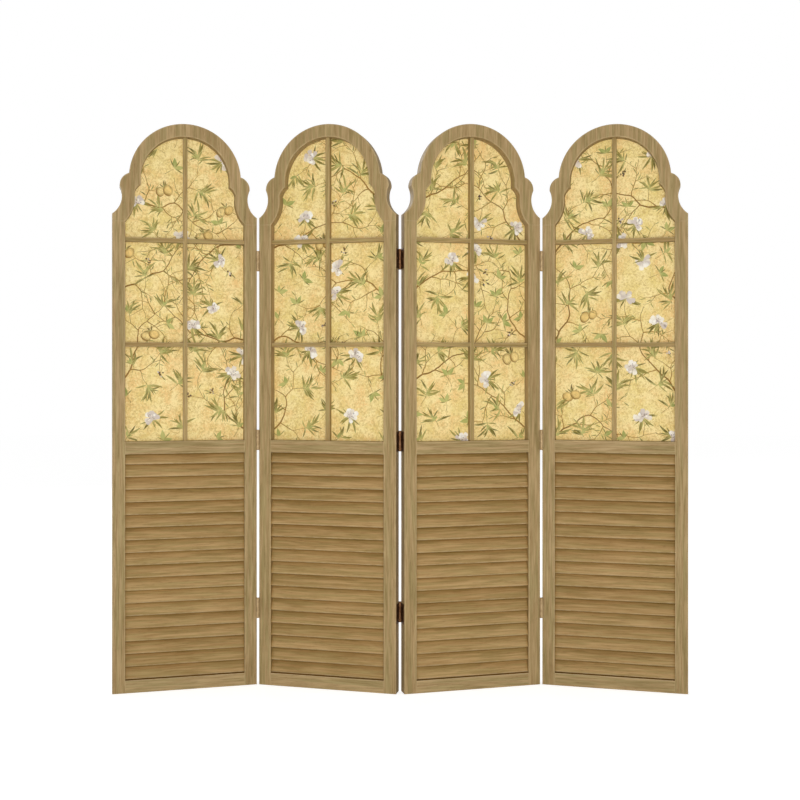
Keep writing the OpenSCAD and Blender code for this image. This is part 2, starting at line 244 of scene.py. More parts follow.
@dataclass
class Effects:
    """The shader groups that the finishes share, each built once."""

    groups: dict[str, bpy.types.NodeTree] = field(default_factory=dict)

    def place(self, canvas: Canvas, name: str, feeds: dict[str, Feed]) -> bpy.types.Node:
        """Puts a shared group in a material.

        Args:
            canvas: the material's canvas.
            name: which of the groups.
            feeds: the group's inputs, by name.

        Returns:
            The group's node, with its outputs.
        """
        if name not in self.groups:
            self.groups[name] = getattr(self, name)()
        return canvas.add("ShaderNodeGroup", feeds, node_tree=self.groups[name])

    def grain(self) -> bpy.types.NodeTree:
        """Builds the grain of wood whose fibres run along the vector's z.

        Returns:
            A group that puts out the tone, greener streaks, the pores and a height.
        """
        puts_out = ("Tone", "Streak", "Pores", "Height")
        canvas, given, out = new_group("wood_grain", {"Figure": 60.0, "Fibre": 260.0}, puts_out)
        figure = canvas.noise(canvas.stretched(given["Vector"], 1, 1, 0.07), given["Figure"], 3, 0.7)
        fibre = canvas.noise(canvas.stretched(given["Vector"], 1, 1, 0.05), given["Fibre"], 3, 0.4)
        broad = canvas.spread(figure, 0.32, 0.68)
        fine = canvas.spread(fibre, 0.3, 0.7)
        tone = canvas.sum("ADD", canvas.sum("MULTIPLY", broad, 0.4), canvas.sum("MULTIPLY", fine, 0.6))
        dashes = canvas.noise(canvas.stretched(given["Vector"], 1, 1, 0.04), 1500, 1)
        pores = canvas.sum("MULTIPLY", canvas.spread(dashes, 0.6, 0.7), canvas.spread(fine, 0.9, 0.2))
        aside = canvas.moved(given["Vector"], (4.1, 2.3, 0.7))
        hue = canvas.noise(canvas.stretched(aside, 1, 1, 0.05), 120.0, 2, 0.3)
        height = canvas.sum("SUBTRACT", canvas.sum("MULTIPLY", tone, 0.5), pores)
        streak = canvas.spread(hue, 0.4, 0.62)
        canvas.wire(out, {"Tone": tone, "Streak": streak, "Pores": pores, "Height": height})
        return canvas.tree

    def wear(self) -> bpy.types.NodeTree:
        """Builds the patchy rubbing along an arris.

        Returns:
            A group that puts out a mask, 1 where the edge is rubbed.
        """
        canvas, given, out = new_group("edge_wear", {"Edge": 0.0, "Amount": 0.6}, ("Mask",))
        patches = canvas.spread(canvas.noise(given["Vector"], 45, 3), 0.25, 0.75)
        share = canvas.sum("MULTIPLY", given["Edge"], canvas.sum("ADD", patches, 0.35))
        canvas.feed(out.inputs["Mask"], canvas.sum("MULTIPLY", share, given["Amount"], clamp=True))
        return canvas.tree

    def scribble(self) -> bpy.types.NodeTree:
        """Builds thin wandering lines, broken here and there.

        Returns:
            A group that puts out a mask, 1 on a line.
        """
        canvas, given, out = new_group("scribbled_lines", {"Scale": 30.0, "Width": 0.02}, ("Line",))
        waves = canvas.noise(given["Vector"], given["Scale"], 1, 1.2)
        away = canvas.sum("ABSOLUTE", canvas.sum("SUBTRACT", waves, 0.5))
        line = canvas.sum("SUBTRACT", 1.0, canvas.sum("DIVIDE", away, given["Width"]), clamp=True)
        coarser = canvas.sum("MULTIPLY", given["Scale"], 0.7)
        gaps = canvas.spread(canvas.noise(given["Vector"], coarser, 1), 0.4, 0.55)
        canvas.feed(out.inputs["Line"], canvas.sum("MULTIPLY", line, gaps, clamp=True))
        return canvas.tree

    def mottle(self) -> bpy.types.NodeTree:
        """Builds soft clouds of colour, with finer speckle in them.

        Returns:
            A group that puts out the clouds and the speckle.
        """
        sizes = {"Clouds": 18.0, "Speckle": 220.0}
        canvas, given, out = new_group("mottling", sizes, tuple(sizes))
        clouds = canvas.spread(canvas.noise(given["Vector"], given["Clouds"], 4, 0.4), 0.36, 0.66)
        speckle = canvas.spread(canvas.noise(given["Vector"], given["Speckle"], 2), 0.35, 0.7)
        canvas.wire(out, {"Clouds": clouds, "Speckle": speckle})
        return canvas.tree


EFFECTS = Effects()


# ---------------------------------------------------------------- finishes


def new_material(name: str) -> tuple[bpy.types.Material, Canvas, bpy.types.Node]:
    """Starts a material.

    Args:
        name: the material's name.

    Returns:
        The material, its canvas and its surface shader.
    """
    material = bpy.data.materials.new(name)
    material.use_nodes = True
    canvas = Canvas(material.node_tree)
    return material, canvas, material.node_tree.nodes["Principled BSDF"]


@dataclass(frozen=True)
class WoodFinish:
    """Matt oiled wood with its grain along each member.

    A board's mesh carries what the finish reads: where its fibres lie, its own tone,
    how exposed an arris is to wear, and how much painted shade a point gets where parts
    cover or hem it in, with a darker painted shadow past DEEP. A slat also carries a
    point's place along its length, for painted shade near its ends.
    """

    name: str
    pale: Colour
    dark: Colour
    pore: Colour
    worn: Colour
    streak: Colour = (0.82, 0.88, 0.80, 1.0)
    # Painted shade: multiplied into the wood where other parts cover or hem it in, with a darker painted
    # shadow for the deepest sides.
    painted_shade: Colour = (0.77, 0.70, 0.53, 1.0)
    deep_painted_shade: Colour = (0.62, 0.47, 0.25, 1.0)
    figure: float = 60.0
    fibre: float = 260.0
    open_pores: float = 0.55
    rubbed: float = 0.75
    end_start: float = 0.93
    end_rise: float = 14.3
    end_curve: float = 1.6
    roughness: float = 0.62
    specular: float = 0.12

    # Past this much painted shade, the darker painted shadow's colour multiplies in too.
    DEEP = 2.0

    def end_shade(self, canvas: Canvas) -> Socket:
        """Gives the share of painted shade near both ends of a slat, where it meets the stiles."""
        past = canvas.sum("SUBTRACT", canvas.sum("ABSOLUTE", canvas.attribute("along")), self.end_start)
        return canvas.sum("POWER", canvas.sum("MULTIPLY", past, self.end_rise, clamp=True), self.end_curve)

    def material(self) -> bpy.types.Material:
        """Builds the wood's material."""
        material, canvas, surface = new_material(self.name)
        along = canvas.attribute("grain", "Vector")
        grain = EFFECTS.place(canvas, "grain", {"Vector": along, "Figure": self.figure, "Fibre": self.fibre})
        edges = {"Vector": along, "Edge": canvas.attribute("arris"), "Amount": self.rubbed}
        wear = EFFECTS.place(canvas, "wear", edges)
        tone = canvas.sum("ADD", grain.outputs["Tone"], canvas.attribute("tone"), clamp=True)
        colour = canvas.blend(tone, self.dark, self.pale)
        colour = canvas.blend(grain.outputs["Streak"], colour, self.streak, "MULTIPLY")
        pores = canvas.sum("MULTIPLY", grain.outputs["Pores"], self.open_pores)
        colour = canvas.blend(pores, colour, self.pore)
        colour = canvas.blend(wear.outputs["Mask"], colour, self.worn)
        # Painted shade from the mesh's attribute and near a slat's ends, then a darker painted shadow past
        # DEEP.
        hollow = canvas.attribute("hollow")
        painted_shade = canvas.sum("MAXIMUM", canvas.sum("ADD", hollow, 0.0, clamp=True), self.end_shade(canvas))
        colour = canvas.blend(painted_shade, colour, self.painted_shade, "MULTIPLY")
        deep_painted_shade = canvas.sum("SUBTRACT", hollow, self.DEEP, clamp=True)
        colour = canvas.blend(deep_painted_shade, colour, self.deep_painted_shade, "MULTIPLY")
        canvas.wire(surface, {
            "Base Color": colour,
            "Roughness": canvas.line(grain.outputs["Tone"], -0.1, self.roughness),
            "Normal": canvas.bump(grain.outputs["Height"], 0.35, 0.0004),
            "Specular IOR Level": self.specular,
        })
        return material


@dataclass(frozen=True)
class GroundFinish:
    """The printed board's mottled ground."""

    name: str
    gold: Colour
    peach: Colour
    cream: Colour
    ochre: Colour
    specular: float = 0.3

    def material(self) -> bpy.types.Material:
        """Builds the ground's material."""
        material, canvas, surface = new_material(self.name)
        spot = canvas.attribute("grain", "Vector")
        clouds = EFFECTS.place(canvas, "mottle", {"Vector": spot, "Clouds": 24.0, "Speckle": 150.0})
        squat = canvas.stretched(spot, 1, 1, 0.8)
        warm = EFFECTS.place(canvas, "mottle", {"Vector": squat, "Clouds": 13.0, "Speckle": 260.0})
        colour = canvas.blend(warm.outputs["Clouds"], self.gold, self.peach)
        colour = canvas.blend(canvas.sum("MULTIPLY", clouds.outputs["Clouds"], 0.7), colour, self.cream)
        for scale, width, strength in ((38.0, 0.03, 0.8), (90.0, 0.045, 0.5)):
            lines = EFFECTS.place(canvas, "scribble", {"Vector": spot, "Scale": scale, "Width": width})
            colour = canvas.blend(canvas.sum("MULTIPLY", lines.outputs["Line"], strength), colour, self.ochre)
        fleck = canvas.spread(clouds.outputs["Speckle"], 0.35, 1.0)
        colour = canvas.blend(canvas.sum("MULTIPLY", fleck, 0.55), colour, self.ochre)
        spark = canvas.spread(warm.outputs["Speckle"], 0.45, 1.0)
        colour = canvas.blend(canvas.sum("MULTIPLY", spark, 0.6), colour, self.cream)
        canvas.wire(surface, {
            "Base Color": colour,
            "Roughness": canvas.line(clouds.outputs["Speckle"], 0.15, 0.6),
            "Normal": canvas.bump(warm.outputs["Speckle"], 0.15, 0.0003),
            "Specular IOR Level": self.specular,
        })
        return material


class Marking(Enum):
    """How colour runs over a printed motif."""

    VEINED = "veined"
    RUFFLED = "ruffled"
    ROUND = "round"
    PLAIN = "plain"


@dataclass(frozen=True)
class InkFinish:
    """Printed ink, tinted motif by motif and shaded across each one."""

    name: str
    marking: Marking
    shade: Colour
    specular: float = 0.3

    def material(self) -> bpy.types.Material:
        """Builds the ink's material."""
        material, canvas, surface = new_material(self.name)
        tint = canvas.attribute("tint", "Vector")
        spot = canvas.attribute("motif", "Vector")
        place = canvas.attribute("grain", "Vector")
        wash = EFFECTS.place(canvas, "mottle", {"Vector": place, "Clouds": 70.0, "Speckle": 500.0})
        axes = canvas.add("ShaderNodeSeparateXYZ", {0: spot})
        match self.marking:
            case Marking.VEINED:
                side = canvas.sum("ABSOLUTE", axes.outputs["X"])
                vein = canvas.sum("MULTIPLY", canvas.spread(side, 0.1, 0.0), 0.45)
                base = canvas.sum("MULTIPLY", canvas.spread(axes.outputs["Z"], 0.5, 0.0), 0.3)
                share = canvas.sum("ADD", vein, base)
            case Marking.RUFFLED:
                rays = canvas.noise(canvas.stretched(spot, 9, 1, 1.5), 1.0, 2)
                base = canvas.sum("MULTIPLY", canvas.spread(axes.outputs["Z"], 0.75, 0.0), 0.75)
                share = canvas.sum("ADD", base, canvas.sum("MULTIPLY", canvas.spread(rays, 0.5, 0.7), 0.45))
            case Marking.ROUND:
                reach = canvas.add("ShaderNodeVectorMath", {0: spot}, operation="LENGTH").outputs["Value"]
                share = canvas.sum("MULTIPLY", canvas.spread(reach, 0.5, 1.0), 0.5)
            case _:
                share = canvas.sum("MULTIPLY", wash.outputs["Clouds"], 0.5)
        share = canvas.sum("ADD", share, canvas.sum("MULTIPLY", wash.outputs["Clouds"], 0.25), clamp=True)
        canvas.wire(surface, {
            "Base Color": canvas.blend(share, tint, self.shade),
            "Roughness": canvas.line(wash.outputs["Speckle"], 0.15, 0.6),
            "Specular IOR Level": self.specular,
        })
        return material


@dataclass(frozen=True)
class BronzeFinish:
    """Aged bronze or brass, clouded with brown and a little rough."""

    name: str
    bright: Colour
    aged: Colour
    roughness: float = 0.38
    metallic: float = 1.0

    def material(self) -> bpy.types.Material:
        """Builds the bronze's material."""
        material, canvas, surface = new_material(self.name)
        spot = canvas.add("ShaderNodeTexCoord").outputs["Object"]
        stain = EFFECTS.place(canvas, "mottle", {"Vector": spot, "Clouds": 90.0, "Speckle": 900.0})
        share = canvas.sum("MULTIPLY", stain.outputs["Clouds"], 0.7)
        canvas.wire(surface, {
            "Base Color": canvas.blend(share, self.bright, self.aged),
            "Roughness": canvas.line(stain.outputs["Speckle"], 0.16, self.roughness),
            "Normal": canvas.bump(stain.outputs["Speckle"], 0.2, 0.0002),
            "Metallic": self.metallic,
        })
        return material


@dataclass
class Finishes:
    """Every finish on the screen, made once."""

    frame: bpy.types.Material
    # recess is the frame oak without sheen, for sides in deep painted shadow.
    recess: bpy.types.Material
    bar: bpy.types.Material
    slat: bpy.types.Material
    dowel: bpy.types.Material
    ground: bpy.types.Material
    # bronze is darker than brass as painted shade, for the hinges in the middle joint's gap.
    bronze: bpy.types.Material
    brass: bpy.types.Material
    screw: bpy.types.Material
    inks: dict[Marking, bpy.types.Material]

    @classmethod
    def mixed(cls) -> "Finishes":
        """Makes the screen's finishes in their colours."""
        oak = {"pore": paint(112, 86, 52), "worn": paint(192, 168, 126)}
        frame = (paint(186, 159, 115), paint(153, 126, 83))
        bars = (paint(187, 161, 109), paint(156, 127, 78))
        slats = (paint(190, 157, 107), paint(160, 127, 78))
        birch = (paint(206, 184, 142), paint(186, 160, 116))
        gold, peach = paint(233, 209, 130), paint(240, 202, 132)
        cream, ochre = paint(253, 234, 170), paint(202, 170, 98)
        inks = (
            ("ink_leaves", Marking.VEINED, paint(206, 196, 122)),
            ("ink_petals", Marking.RUFFLED, paint(212, 198, 182)),
            ("ink_fruit", Marking.ROUND, paint(148, 112, 44)),
            ("ink_twigs", Marking.PLAIN, paint(128, 96, 34)),
        )
        return cls(
            frame=WoodFinish("oak_frame", *frame, **oak).material(),
            # The frame oak without sheen, for the sides in deep painted shadow.
            recess=WoodFinish("oak_recess", *frame, **oak, specular=0.0).material(),
            bar=WoodFinish("oak_bars", *bars, **oak).material(),
            slat=WoodFinish("oak_slats", *slats, **oak, rubbed=0.7).material(),
            dowel=WoodFinish("dowel_birch", *birch, **oak).material(),
            ground=GroundFinish("print_ground", gold, peach, cream, ochre).material(),
            # Darker bronze for the middle joint's hinges: painted shade for the gap that they sit in.
            bronze=BronzeFinish("dark_bronze", paint(122, 90, 64), paint(70, 42, 20), 0.42).material(),
            brass=BronzeFinish("dull_brass", paint(176, 150, 110), paint(146, 120, 78), 0.5, 0.4).material(),
            screw=BronzeFinish("bronze_screws", paint(188, 150, 106), paint(112, 82, 54), 0.34).material(),
            inks={marking: InkFinish(name, marking, shade).material() for name, marking, shade in inks},
        )


# ---------------------------------------------------------------- boards


class Plane(Enum):
    """The plane that a board's outline lies in."""

    FACE = "across and up"
    PLAN = "across and back"
    SIDE = "up and back"


class Fibre(Enum):
    """The way that the wood's fibres run."""

    UPRIGHT = "up"
    LEVEL = "across"


@dataclass
class Board:
    """One board: an outline given a thickness, with its arrises eased.

    A corner of the outline is (p, q, arris on the edge before, arris on the edge
    after). The back outline has as many corners, and takes over behind the step. A
    side that lies deep among other parts is named by its range of p and q, and gets
    painted shade of the given strength from its front arris to the middle.
    """

    outline: list[Corner]
    low: float
    high: float
    fibre: Fibre = Fibre.UPRIGHT
    plane: Plane = Plane.FACE
    back: list[Corner] | None = None
    step: float = 0.0
    margin: float = 3.0
    bias: float = 0.0
    # deep names a zone of the outline, and the next field how much painted shade its sides get.
    deep: tuple[float, float, float, float] = (0.0, 0.0, 0.0, 0.0)
    deep_painted_shade: float = 0.0

    STRAIGHT = 0.02
    TURNS = (0.0, 22.5, 45.0, 67.5, 90.0)
    WEARS = (0.45, 0.85, 1.0, 0.85, 0.45)

    def edge_offset(self, corners: list[Corner], share: float, extra: float) -> list[Point]:
        """Moves an outline inwards.

        Args:
            corners: the outline.
            share: how many arris radii each edge moves.
            extra: millimetres that each edge moves as well.

        Returns:
            The moved points, mitred at the corners.
        """
        moved = []
        for here, (p, q, before, after) in enumerate(corners):
            back = self.direction(corners, here, -1)
            ahead = self.direction(corners, here, 1)
            first, second = Vector((-back.y, back.x)), Vector((-ahead.y, ahead.x))
            a, b = before * share + extra, after * share + extra
            turn = first.x * second.y - first.y * second.x
            if abs(turn) < self.STRAIGHT:
                step = (first + second).normalized() * (a + b) / 2
            else:
                step = Vector((a * second.y - b * first.y, b * first.x - a * second.x)) / turn
            moved.append((p + step.x, q + step.y))
        return moved

    @staticmethod
    def direction(corners: list[Corner], here: int, way: int) -> Vector:
        """Gives the direction of the edge before (-1) or after (1) a corner."""
        spot = Vector(corners[here][:2])
        for step in range(1, len(corners)):
            other = Vector(corners[(here + way * step) % len(corners)][:2])
            if (other - spot).length > 1e-4:
                return ((other - spot) * way).normalized()
        raise ValueError("an outline needs more than one point")

    def rings(self) -> list[tuple[list[Point], list[float], float]]:
        """Stacks the outline through the thickness.

        Returns:
            For each ring its points, its depths and how exposed it is to wear.
        """
        stack = []
        profile = [(1.0, 0.0, self.margin, 0.0, 0.0)]
        for turn, wear in zip(self.TURNS, self.WEARS):
            angle = math.radians(turn)
            profile.append((1 - math.sin(angle), 1 - math.cos(angle), 0.0, 0.0, wear))
        profile.append((0.0, 1.0, 0.0, self.margin, 0.0))
        for share, fall, extra, deeper, wear in profile:
            depths = [self.low + max(c[2], c[3]) * fall + deeper for c in self.outline]
            stack.append((self.edge_offset(self.outline, share, extra), depths, wear))
        behind = self.back or self.outline
        if self.step:
            stack.append(([c[:2] for c in self.outline], [self.step] * len(behind), 0.0))
            stack.append(([c[:2] for c in behind], [self.step] * len(behind), 0.0))
        for share, fall, extra, deeper, wear in reversed(profile):
            depths = [self.high - max(c[2], c[3]) * fall - deeper for c in behind]
            stack.append((self.edge_offset(behind, share, extra), depths, wear))
        return stack

    def spot(self, p: float, q: float, depth: float) -> Spot:
        """Gives a point of the outline its place in the leaf's frame."""
        places = {Plane.FACE: (p, depth, q), Plane.PLAN: (p, q, depth), Plane.SIDE: (depth, q, p)}
        return places[self.plane]

    def shade(self, p: float, q: float, depth: float) -> float:
        """Tells how much painted shade a point of the outline gets."""
        p0, p1, q0, q1 = self.deep
        sunk = p0 <= p <= p1 and q0 <= q <= q1 and depth < (self.low + self.high) / 2
        return self.deep_painted_shade if sunk else 0.0


@dataclass
class Joinery:
    """Gathers boards into one mesh, with the attributes that the wood reads.

    Each board is cut from a plank of its own, SHIFT metres or less away in the grain.
    Corners that fall on the same 1 / SNAP of a millimetre are one.
    """

    seed: int
    points: list[Spot] = field(default_factory=list)
    faces: list[list[int]] = field(default_factory=list)
    grain: list[Spot] = field(default_factory=list)
    arris: list[float] = field(default_factory=list)
    tone: list[float] = field(default_factory=list)
    # How much painted shade each point gets.
    hollow: list[float] = field(default_factory=list)

    PLANKS = 977
    SHIFT = 9.0
    TONE = 0.06
    SNAP = 500

    def add(self, board: Board) -> None:
        """Adds a board, cut from its own plank."""
        chance = random.Random(self.seed * self.PLANKS + len(self.faces))
        shift = [chance.uniform(-self.SHIFT, self.SHIFT) for _ in range(3)]
        tone = board.bias + chance.uniform(-self.TONE, self.TONE)
        known: dict[tuple[int, ...], int] = {}
        loops = []
        for outline, depths, wear in board.rings():
            loop = []
            for (p, q), depth in zip(outline, depths):
                spot = board.spot(p, q, depth)
                key = tuple(round(value * self.SNAP) for value in spot)
                if key not in known:
                    known[key] = len(self.points)
                    self.points.append(spot)
                    x, y, z = (value * MM for value in spot)
                    fibre = (x, y, z) if board.fibre is Fibre.UPRIGHT else (z, y, x)
                    self.grain.append(tuple(a + b for a, b in zip(fibre, shift)))
                    self.arris.append(wear)
                    self.tone.append(tone)
                    self.hollow.append(board.shade(p, q, depth))
                loop.append(known[key])
            loops.append(loop)
        self.add_face(loops[0])
        self.add_face(loops[-1][::-1])
        count = len(board.outline)
        for front, behind in zip(loops, loops[1:]):
            for here in range(count):
                ahead = (here + 1) % count
                self.add_face([front[here], behind[here], behind[ahead], front[ahead]])

    def add_face(self, loop: list[int]) -> None:
        """Adds a face, unless its corners fall together."""
        slim = [spot for at, spot in enumerate(loop) if spot != loop[at - 1]]
        if len(slim) > 2 and len(set(slim)) == len(slim):
            self.faces.append(slim)

    def mesh(self, name: str, place: Matrix, *finishes: bpy.types.Material) -> bpy.types.Mesh:
        """Makes the mesh.

        Args:
            name: the mesh's name.
            place: from the leaf's frame in millimetres to the screen's in metres.
            finishes: the boards' finish, and the one for their sides in deep painted shadow.

        Returns:
            A closed mesh with sharp edges where its faces turn.
        """
        mesh = bpy.data.meshes.new(name)
        mesh.from_pydata(self.points, [], self.faces)
        store(mesh, "grain", [value for spot in self.grain for value in spot])
        for label, values in (("arris", self.arris), ("tone", self.tone), ("hollow", self.hollow)):
            store(mesh, label, values, "FLOAT")
        for finish in finishes:
            mesh.materials.append(finish)
        if len(finishes) > 1:
            # Faces deep in painted shadow take the finish without sheen.
            deep = (sum(self.hollow[spot] > WoodFinish.DEEP for spot in face) > 1 for face in self.faces)
            mesh.polygons.foreach_set("material_index", [int(sunk) for sunk in deep])
        soften(mesh, place)
        return mesh


def soften(mesh: bpy.types.Mesh, place: Matrix, turn: float = 33.0) -> None:
    """Puts a mesh in place, faces outwards, smooth except where it turns.

    Args:
        mesh: the mesh, changed in place.
        place: the matrix that its points go through.
        turn: the angle in degrees past which an edge stays sharp.
    """
    work = bmesh.new()
    work.from_mesh(mesh)
    bmesh.ops.recalc_face_normals(work, faces=work.faces)
    for edge in work.edges:
        edge.smooth = edge.is_manifold and edge.calc_face_angle() < math.radians(turn)
    for face in work.faces:
        face.smooth = True
    work.transform(place)
    work.to_mesh(mesh)
    work.free()


def mirrored(outline: list[Corner], width: float) -> list[Corner]:
    """Turns a left-hand outline into a right-hand one."""
    return [(width - p, q, after, before) for p, q, before, after in reversed(outline)]


# ---------------------------------------------------------------- the leaf


@dataclass(frozen=True)
class LeafSizes:
    """Sizes that the parts of one leaf share."""

    width: float = 455.0
    thickness: float = 42.0
    height: float = 1800.0
    stile: float = 40.0
    bottom_rail: float = 40.0
    mid_rail: float = 751.0
    rail: float = 39.0
    rebate: float = 10.0
    bars_front: float = 12.0
    bars_back: float = 36.0
    board_back: float = 39.0
    crown: float = 176.0
    ring: float = 36.0
    drop: float = 4.8
    arris: float = 2.0
    tight: float = 0.25
    run_out: float = 6.0

    @property
    def middle(self) -> float:
        """The leaf's middle line."""
        return self.width / 2

    @property
    def opening(self) -> float:
        """Height of the lights' sill."""
        return self.mid_rail + self.rail

    @property
    def crown_z(self) -> float:
        """Height of the crown's centre."""
        return self.height - self.crown


@dataclass(frozen=True)
class HeadCurve:
    """Half of the head's curved outline, from its foot to the crown's top."""

    leaf: LeafSizes
    half: float
    crown: float
    ear: float
    ear_spot: Point
    cove: float
    cove_spot: Point = (267.5, 1565.0)
    drop: float = 0.0

    @classmethod
    def outer(cls, leaf: LeafSizes) -> "HeadCurve":
        """The outside of the head."""
        return cls(leaf, leaf.middle, leaf.crown, 40.3, (164.0, 1598.5), 70.0)

    @classmethod
    def inner(cls, leaf: LeafSizes, grown: float = 0.0) -> "HeadCurve":
        """The lights' opening, grown by some millimetres."""
        return cls(
            leaf, leaf.middle - leaf.stile + grown, leaf.crown - leaf.ring + grown, 47.5 + grown,
            (112.5, 1570.0 - leaf.drop), 110.0 - grown, (267.5, 1565.0 - leaf.drop), leaf.drop,
        )

    def foot(self) -> float:
        """Height at which the straight side runs into the hollow."""
        return self.cove_spot[1] - math.sqrt(self.cove**2 - (self.cove_spot[0] - self.half) ** 2)

    def arc(
        self, centre: Point, radius: float, start: Point, end: Point, steps: int, way: int
    ) -> list[Point]:
        """Follows a circle.

        Args:
            centre: the circle's centre.
            radius: its radius.
            start: where the arc starts.
            end: where it ends.
            steps: how many straight runs it has.
            way: 1 for anticlockwise, -1 for clockwise.

        Returns:
            The points, both ends among them.
        """
        first = math.atan2(start[1] - centre[1], start[0] - centre[0])
        last = math.atan2(end[1] - centre[1], end[0] - centre[0])
        sweep = way * ((last - first) * way % math.tau)
        angles = (first + sweep * step / steps for step in range(steps + 1))
        return [(centre[0] + radius * math.cos(a), centre[1] + radius * math.sin(a)) for a in angles]

    @staticmethod
    def meeting(one: Point, radius: float, other: Point, other_radius: float) -> Point:
        """Gives the higher of the two points where two circles cross."""
        apart = math.dist(one, other)
        along = (apart**2 + radius**2 - other_radius**2) / (2 * apart)
        aside = math.sqrt(radius**2 - along**2)
        ux, uz = (other[0] - one[0]) / apart, (other[1] - one[1]) / apart
        base = (one[0] + along * ux, one[1] + along * uz)
        return max(
            ((base[0] - way * aside * uz, base[1] + way * aside * ux) for way in (1, -1)),
            key=lambda spot: spot[1],
        )

    def points(self, base: float) -> list[Point]:
        """Draws the half outline.

        Args:
            base: height of the lowest point.

        Returns:
            Points (x from the middle, height), from the base to the crown's top.
        """
        crown_spot = (0.0, self.leaf.crown_z - self.drop)
        flank = self.ear_spot[0] + self.ear
        rise = math.sqrt(self.cove**2 - (self.cove_spot[0] - flank) ** 2)
        top = (flank, self.cove_spot[1] + rise)
        drawn = [(self.half, base)]
        if top[1] < self.ear_spot[1]:
            ear_start = (flank, self.ear_spot[1])
        else:
            top = self.meeting(self.cove_spot, self.cove, self.ear_spot, self.ear)
            ear_start = top
        drawn += self.arc(self.cove_spot, self.cove, (self.half, self.foot()), top, 18, -1)
        shoulder = self.meeting(self.ear_spot, self.ear, crown_spot, self.crown)
        drawn += self.arc(self.ear_spot, self.ear, ear_start, shoulder, 14, 1)
        drawn += self.arc(crown_spot, self.crown, shoulder, (0.0, crown_spot[1] + self.crown), 22, 1)
        return drawn

    def whole(self, base: float) -> list[Point]:
        """Draws both halves, from the right foot over the crown to the left foot."""
        half = self.points(base)
        return half + [(-x, z) for x, z in half[-2::-1]]


@dataclass(frozen=True)
class Standing:
    """Where a leaf stands: its body, and the matrix from its own frame."""

    number: int
    place: Matrix

    SEEDS = 100

    @property
    def body(self) -> str:
        """Name of the CAD body that the leaf is."""
        return f"leaf_{self.number}"

    def seed(self, first: int) -> int:
        """Gives a piece of this leaf its own start for chance."""
        return self.number * self.SEEDS + first


def standings(leaf: LeafSizes, joints: list[dict]) -> list[Standing]:
    """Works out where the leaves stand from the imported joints.

    Args:
        leaf: the leaf's sizes.
        joints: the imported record's joints, from left to right.

    Returns:
        One standing for each leaf.
    """
    gap, knuckle = 3.7, 6.2
    axes = [Vector(joint["pos_m"][:2]) / MM for joint in joints]
    reach = Vector((leaf.width + gap, leaf.thickness + 2 * knuckle))
    span = axes[1] - axes[0]
    turn = math.atan2(span.y, span.x) - math.atan2(reach.y, reach.x)
    front_right = Vector((leaf.width + gap / 2, -knuckle))
    back_right = Vector((leaf.width + gap / 2, leaf.thickness + knuckle))
    spots = []
    for number, axis, corner in ((1, 0, front_right), (2, 1, back_right), (3, 2, front_right)):
        way = turn if number == 2 else -turn
        spots.append((number, way, axes[axis] - Matrix.Rotation(way, 2) @ corner))
    spots.append((4, turn, axes[2] - Matrix.Rotation(turn, 2) @ Vector((-gap / 2, -knuckle))))
    return [
        Standing(
            number,
            Matrix.Scale(MM, 4) @ Matrix.Translation((spot.x, spot.y, 0.0)) @ Matrix.Rotation(way, 4, "Z"),
        )
        for number, way, spot in spots
    ]


@dataclass
class LeafPart:
    """Something that is built on one leaf."""

    standing: Standing
    finishes: Finishes
    leaf: LeafSizes = field(default_factory=LeafSizes)

    def show(self, mesh: bpy.types.Mesh, slot: str, *nodes: str) -> None:
        """Puts a finished mesh on the leaf as a piece of the same name.

        Args:
            mesh: the mesh, in its place.
            slot: the record's material slot; not used.
            nodes: the CAD nodes that it stands for.
        """
        standing = self.standing
        piece = new_object(mesh.name, mesh)
        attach(piece, standing.body)
        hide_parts(*nodes)
        LOG.info("%s: %d faces", mesh.name, len(mesh.polygons))

    def join(
        self, node: str, kind: str, boards: list[Board], seed: int, slot: str, *finishes: bpy.types.Material
    ) -> None:
        """Makes one piece of some boards and puts it on the leaf.

        Args:
            node: the CAD node that it stands for, without the leaf's number.
            kind: the last word of the piece's name.
            boards: its boards.
            seed: where the chance in its grain starts.
            slot: the record's material slot.
            finishes: its finish, and the one for its sides in deep painted shadow.
        """
        joinery = Joinery(seed)
        for board in boards:
            joinery.add(board)
        stood_for = f"{node}_{self.standing.number}"
        mesh = joinery.mesh(f"{stood_for}_{kind}", self.standing.place, *finishes)
        self.show(mesh, slot, stood_for)


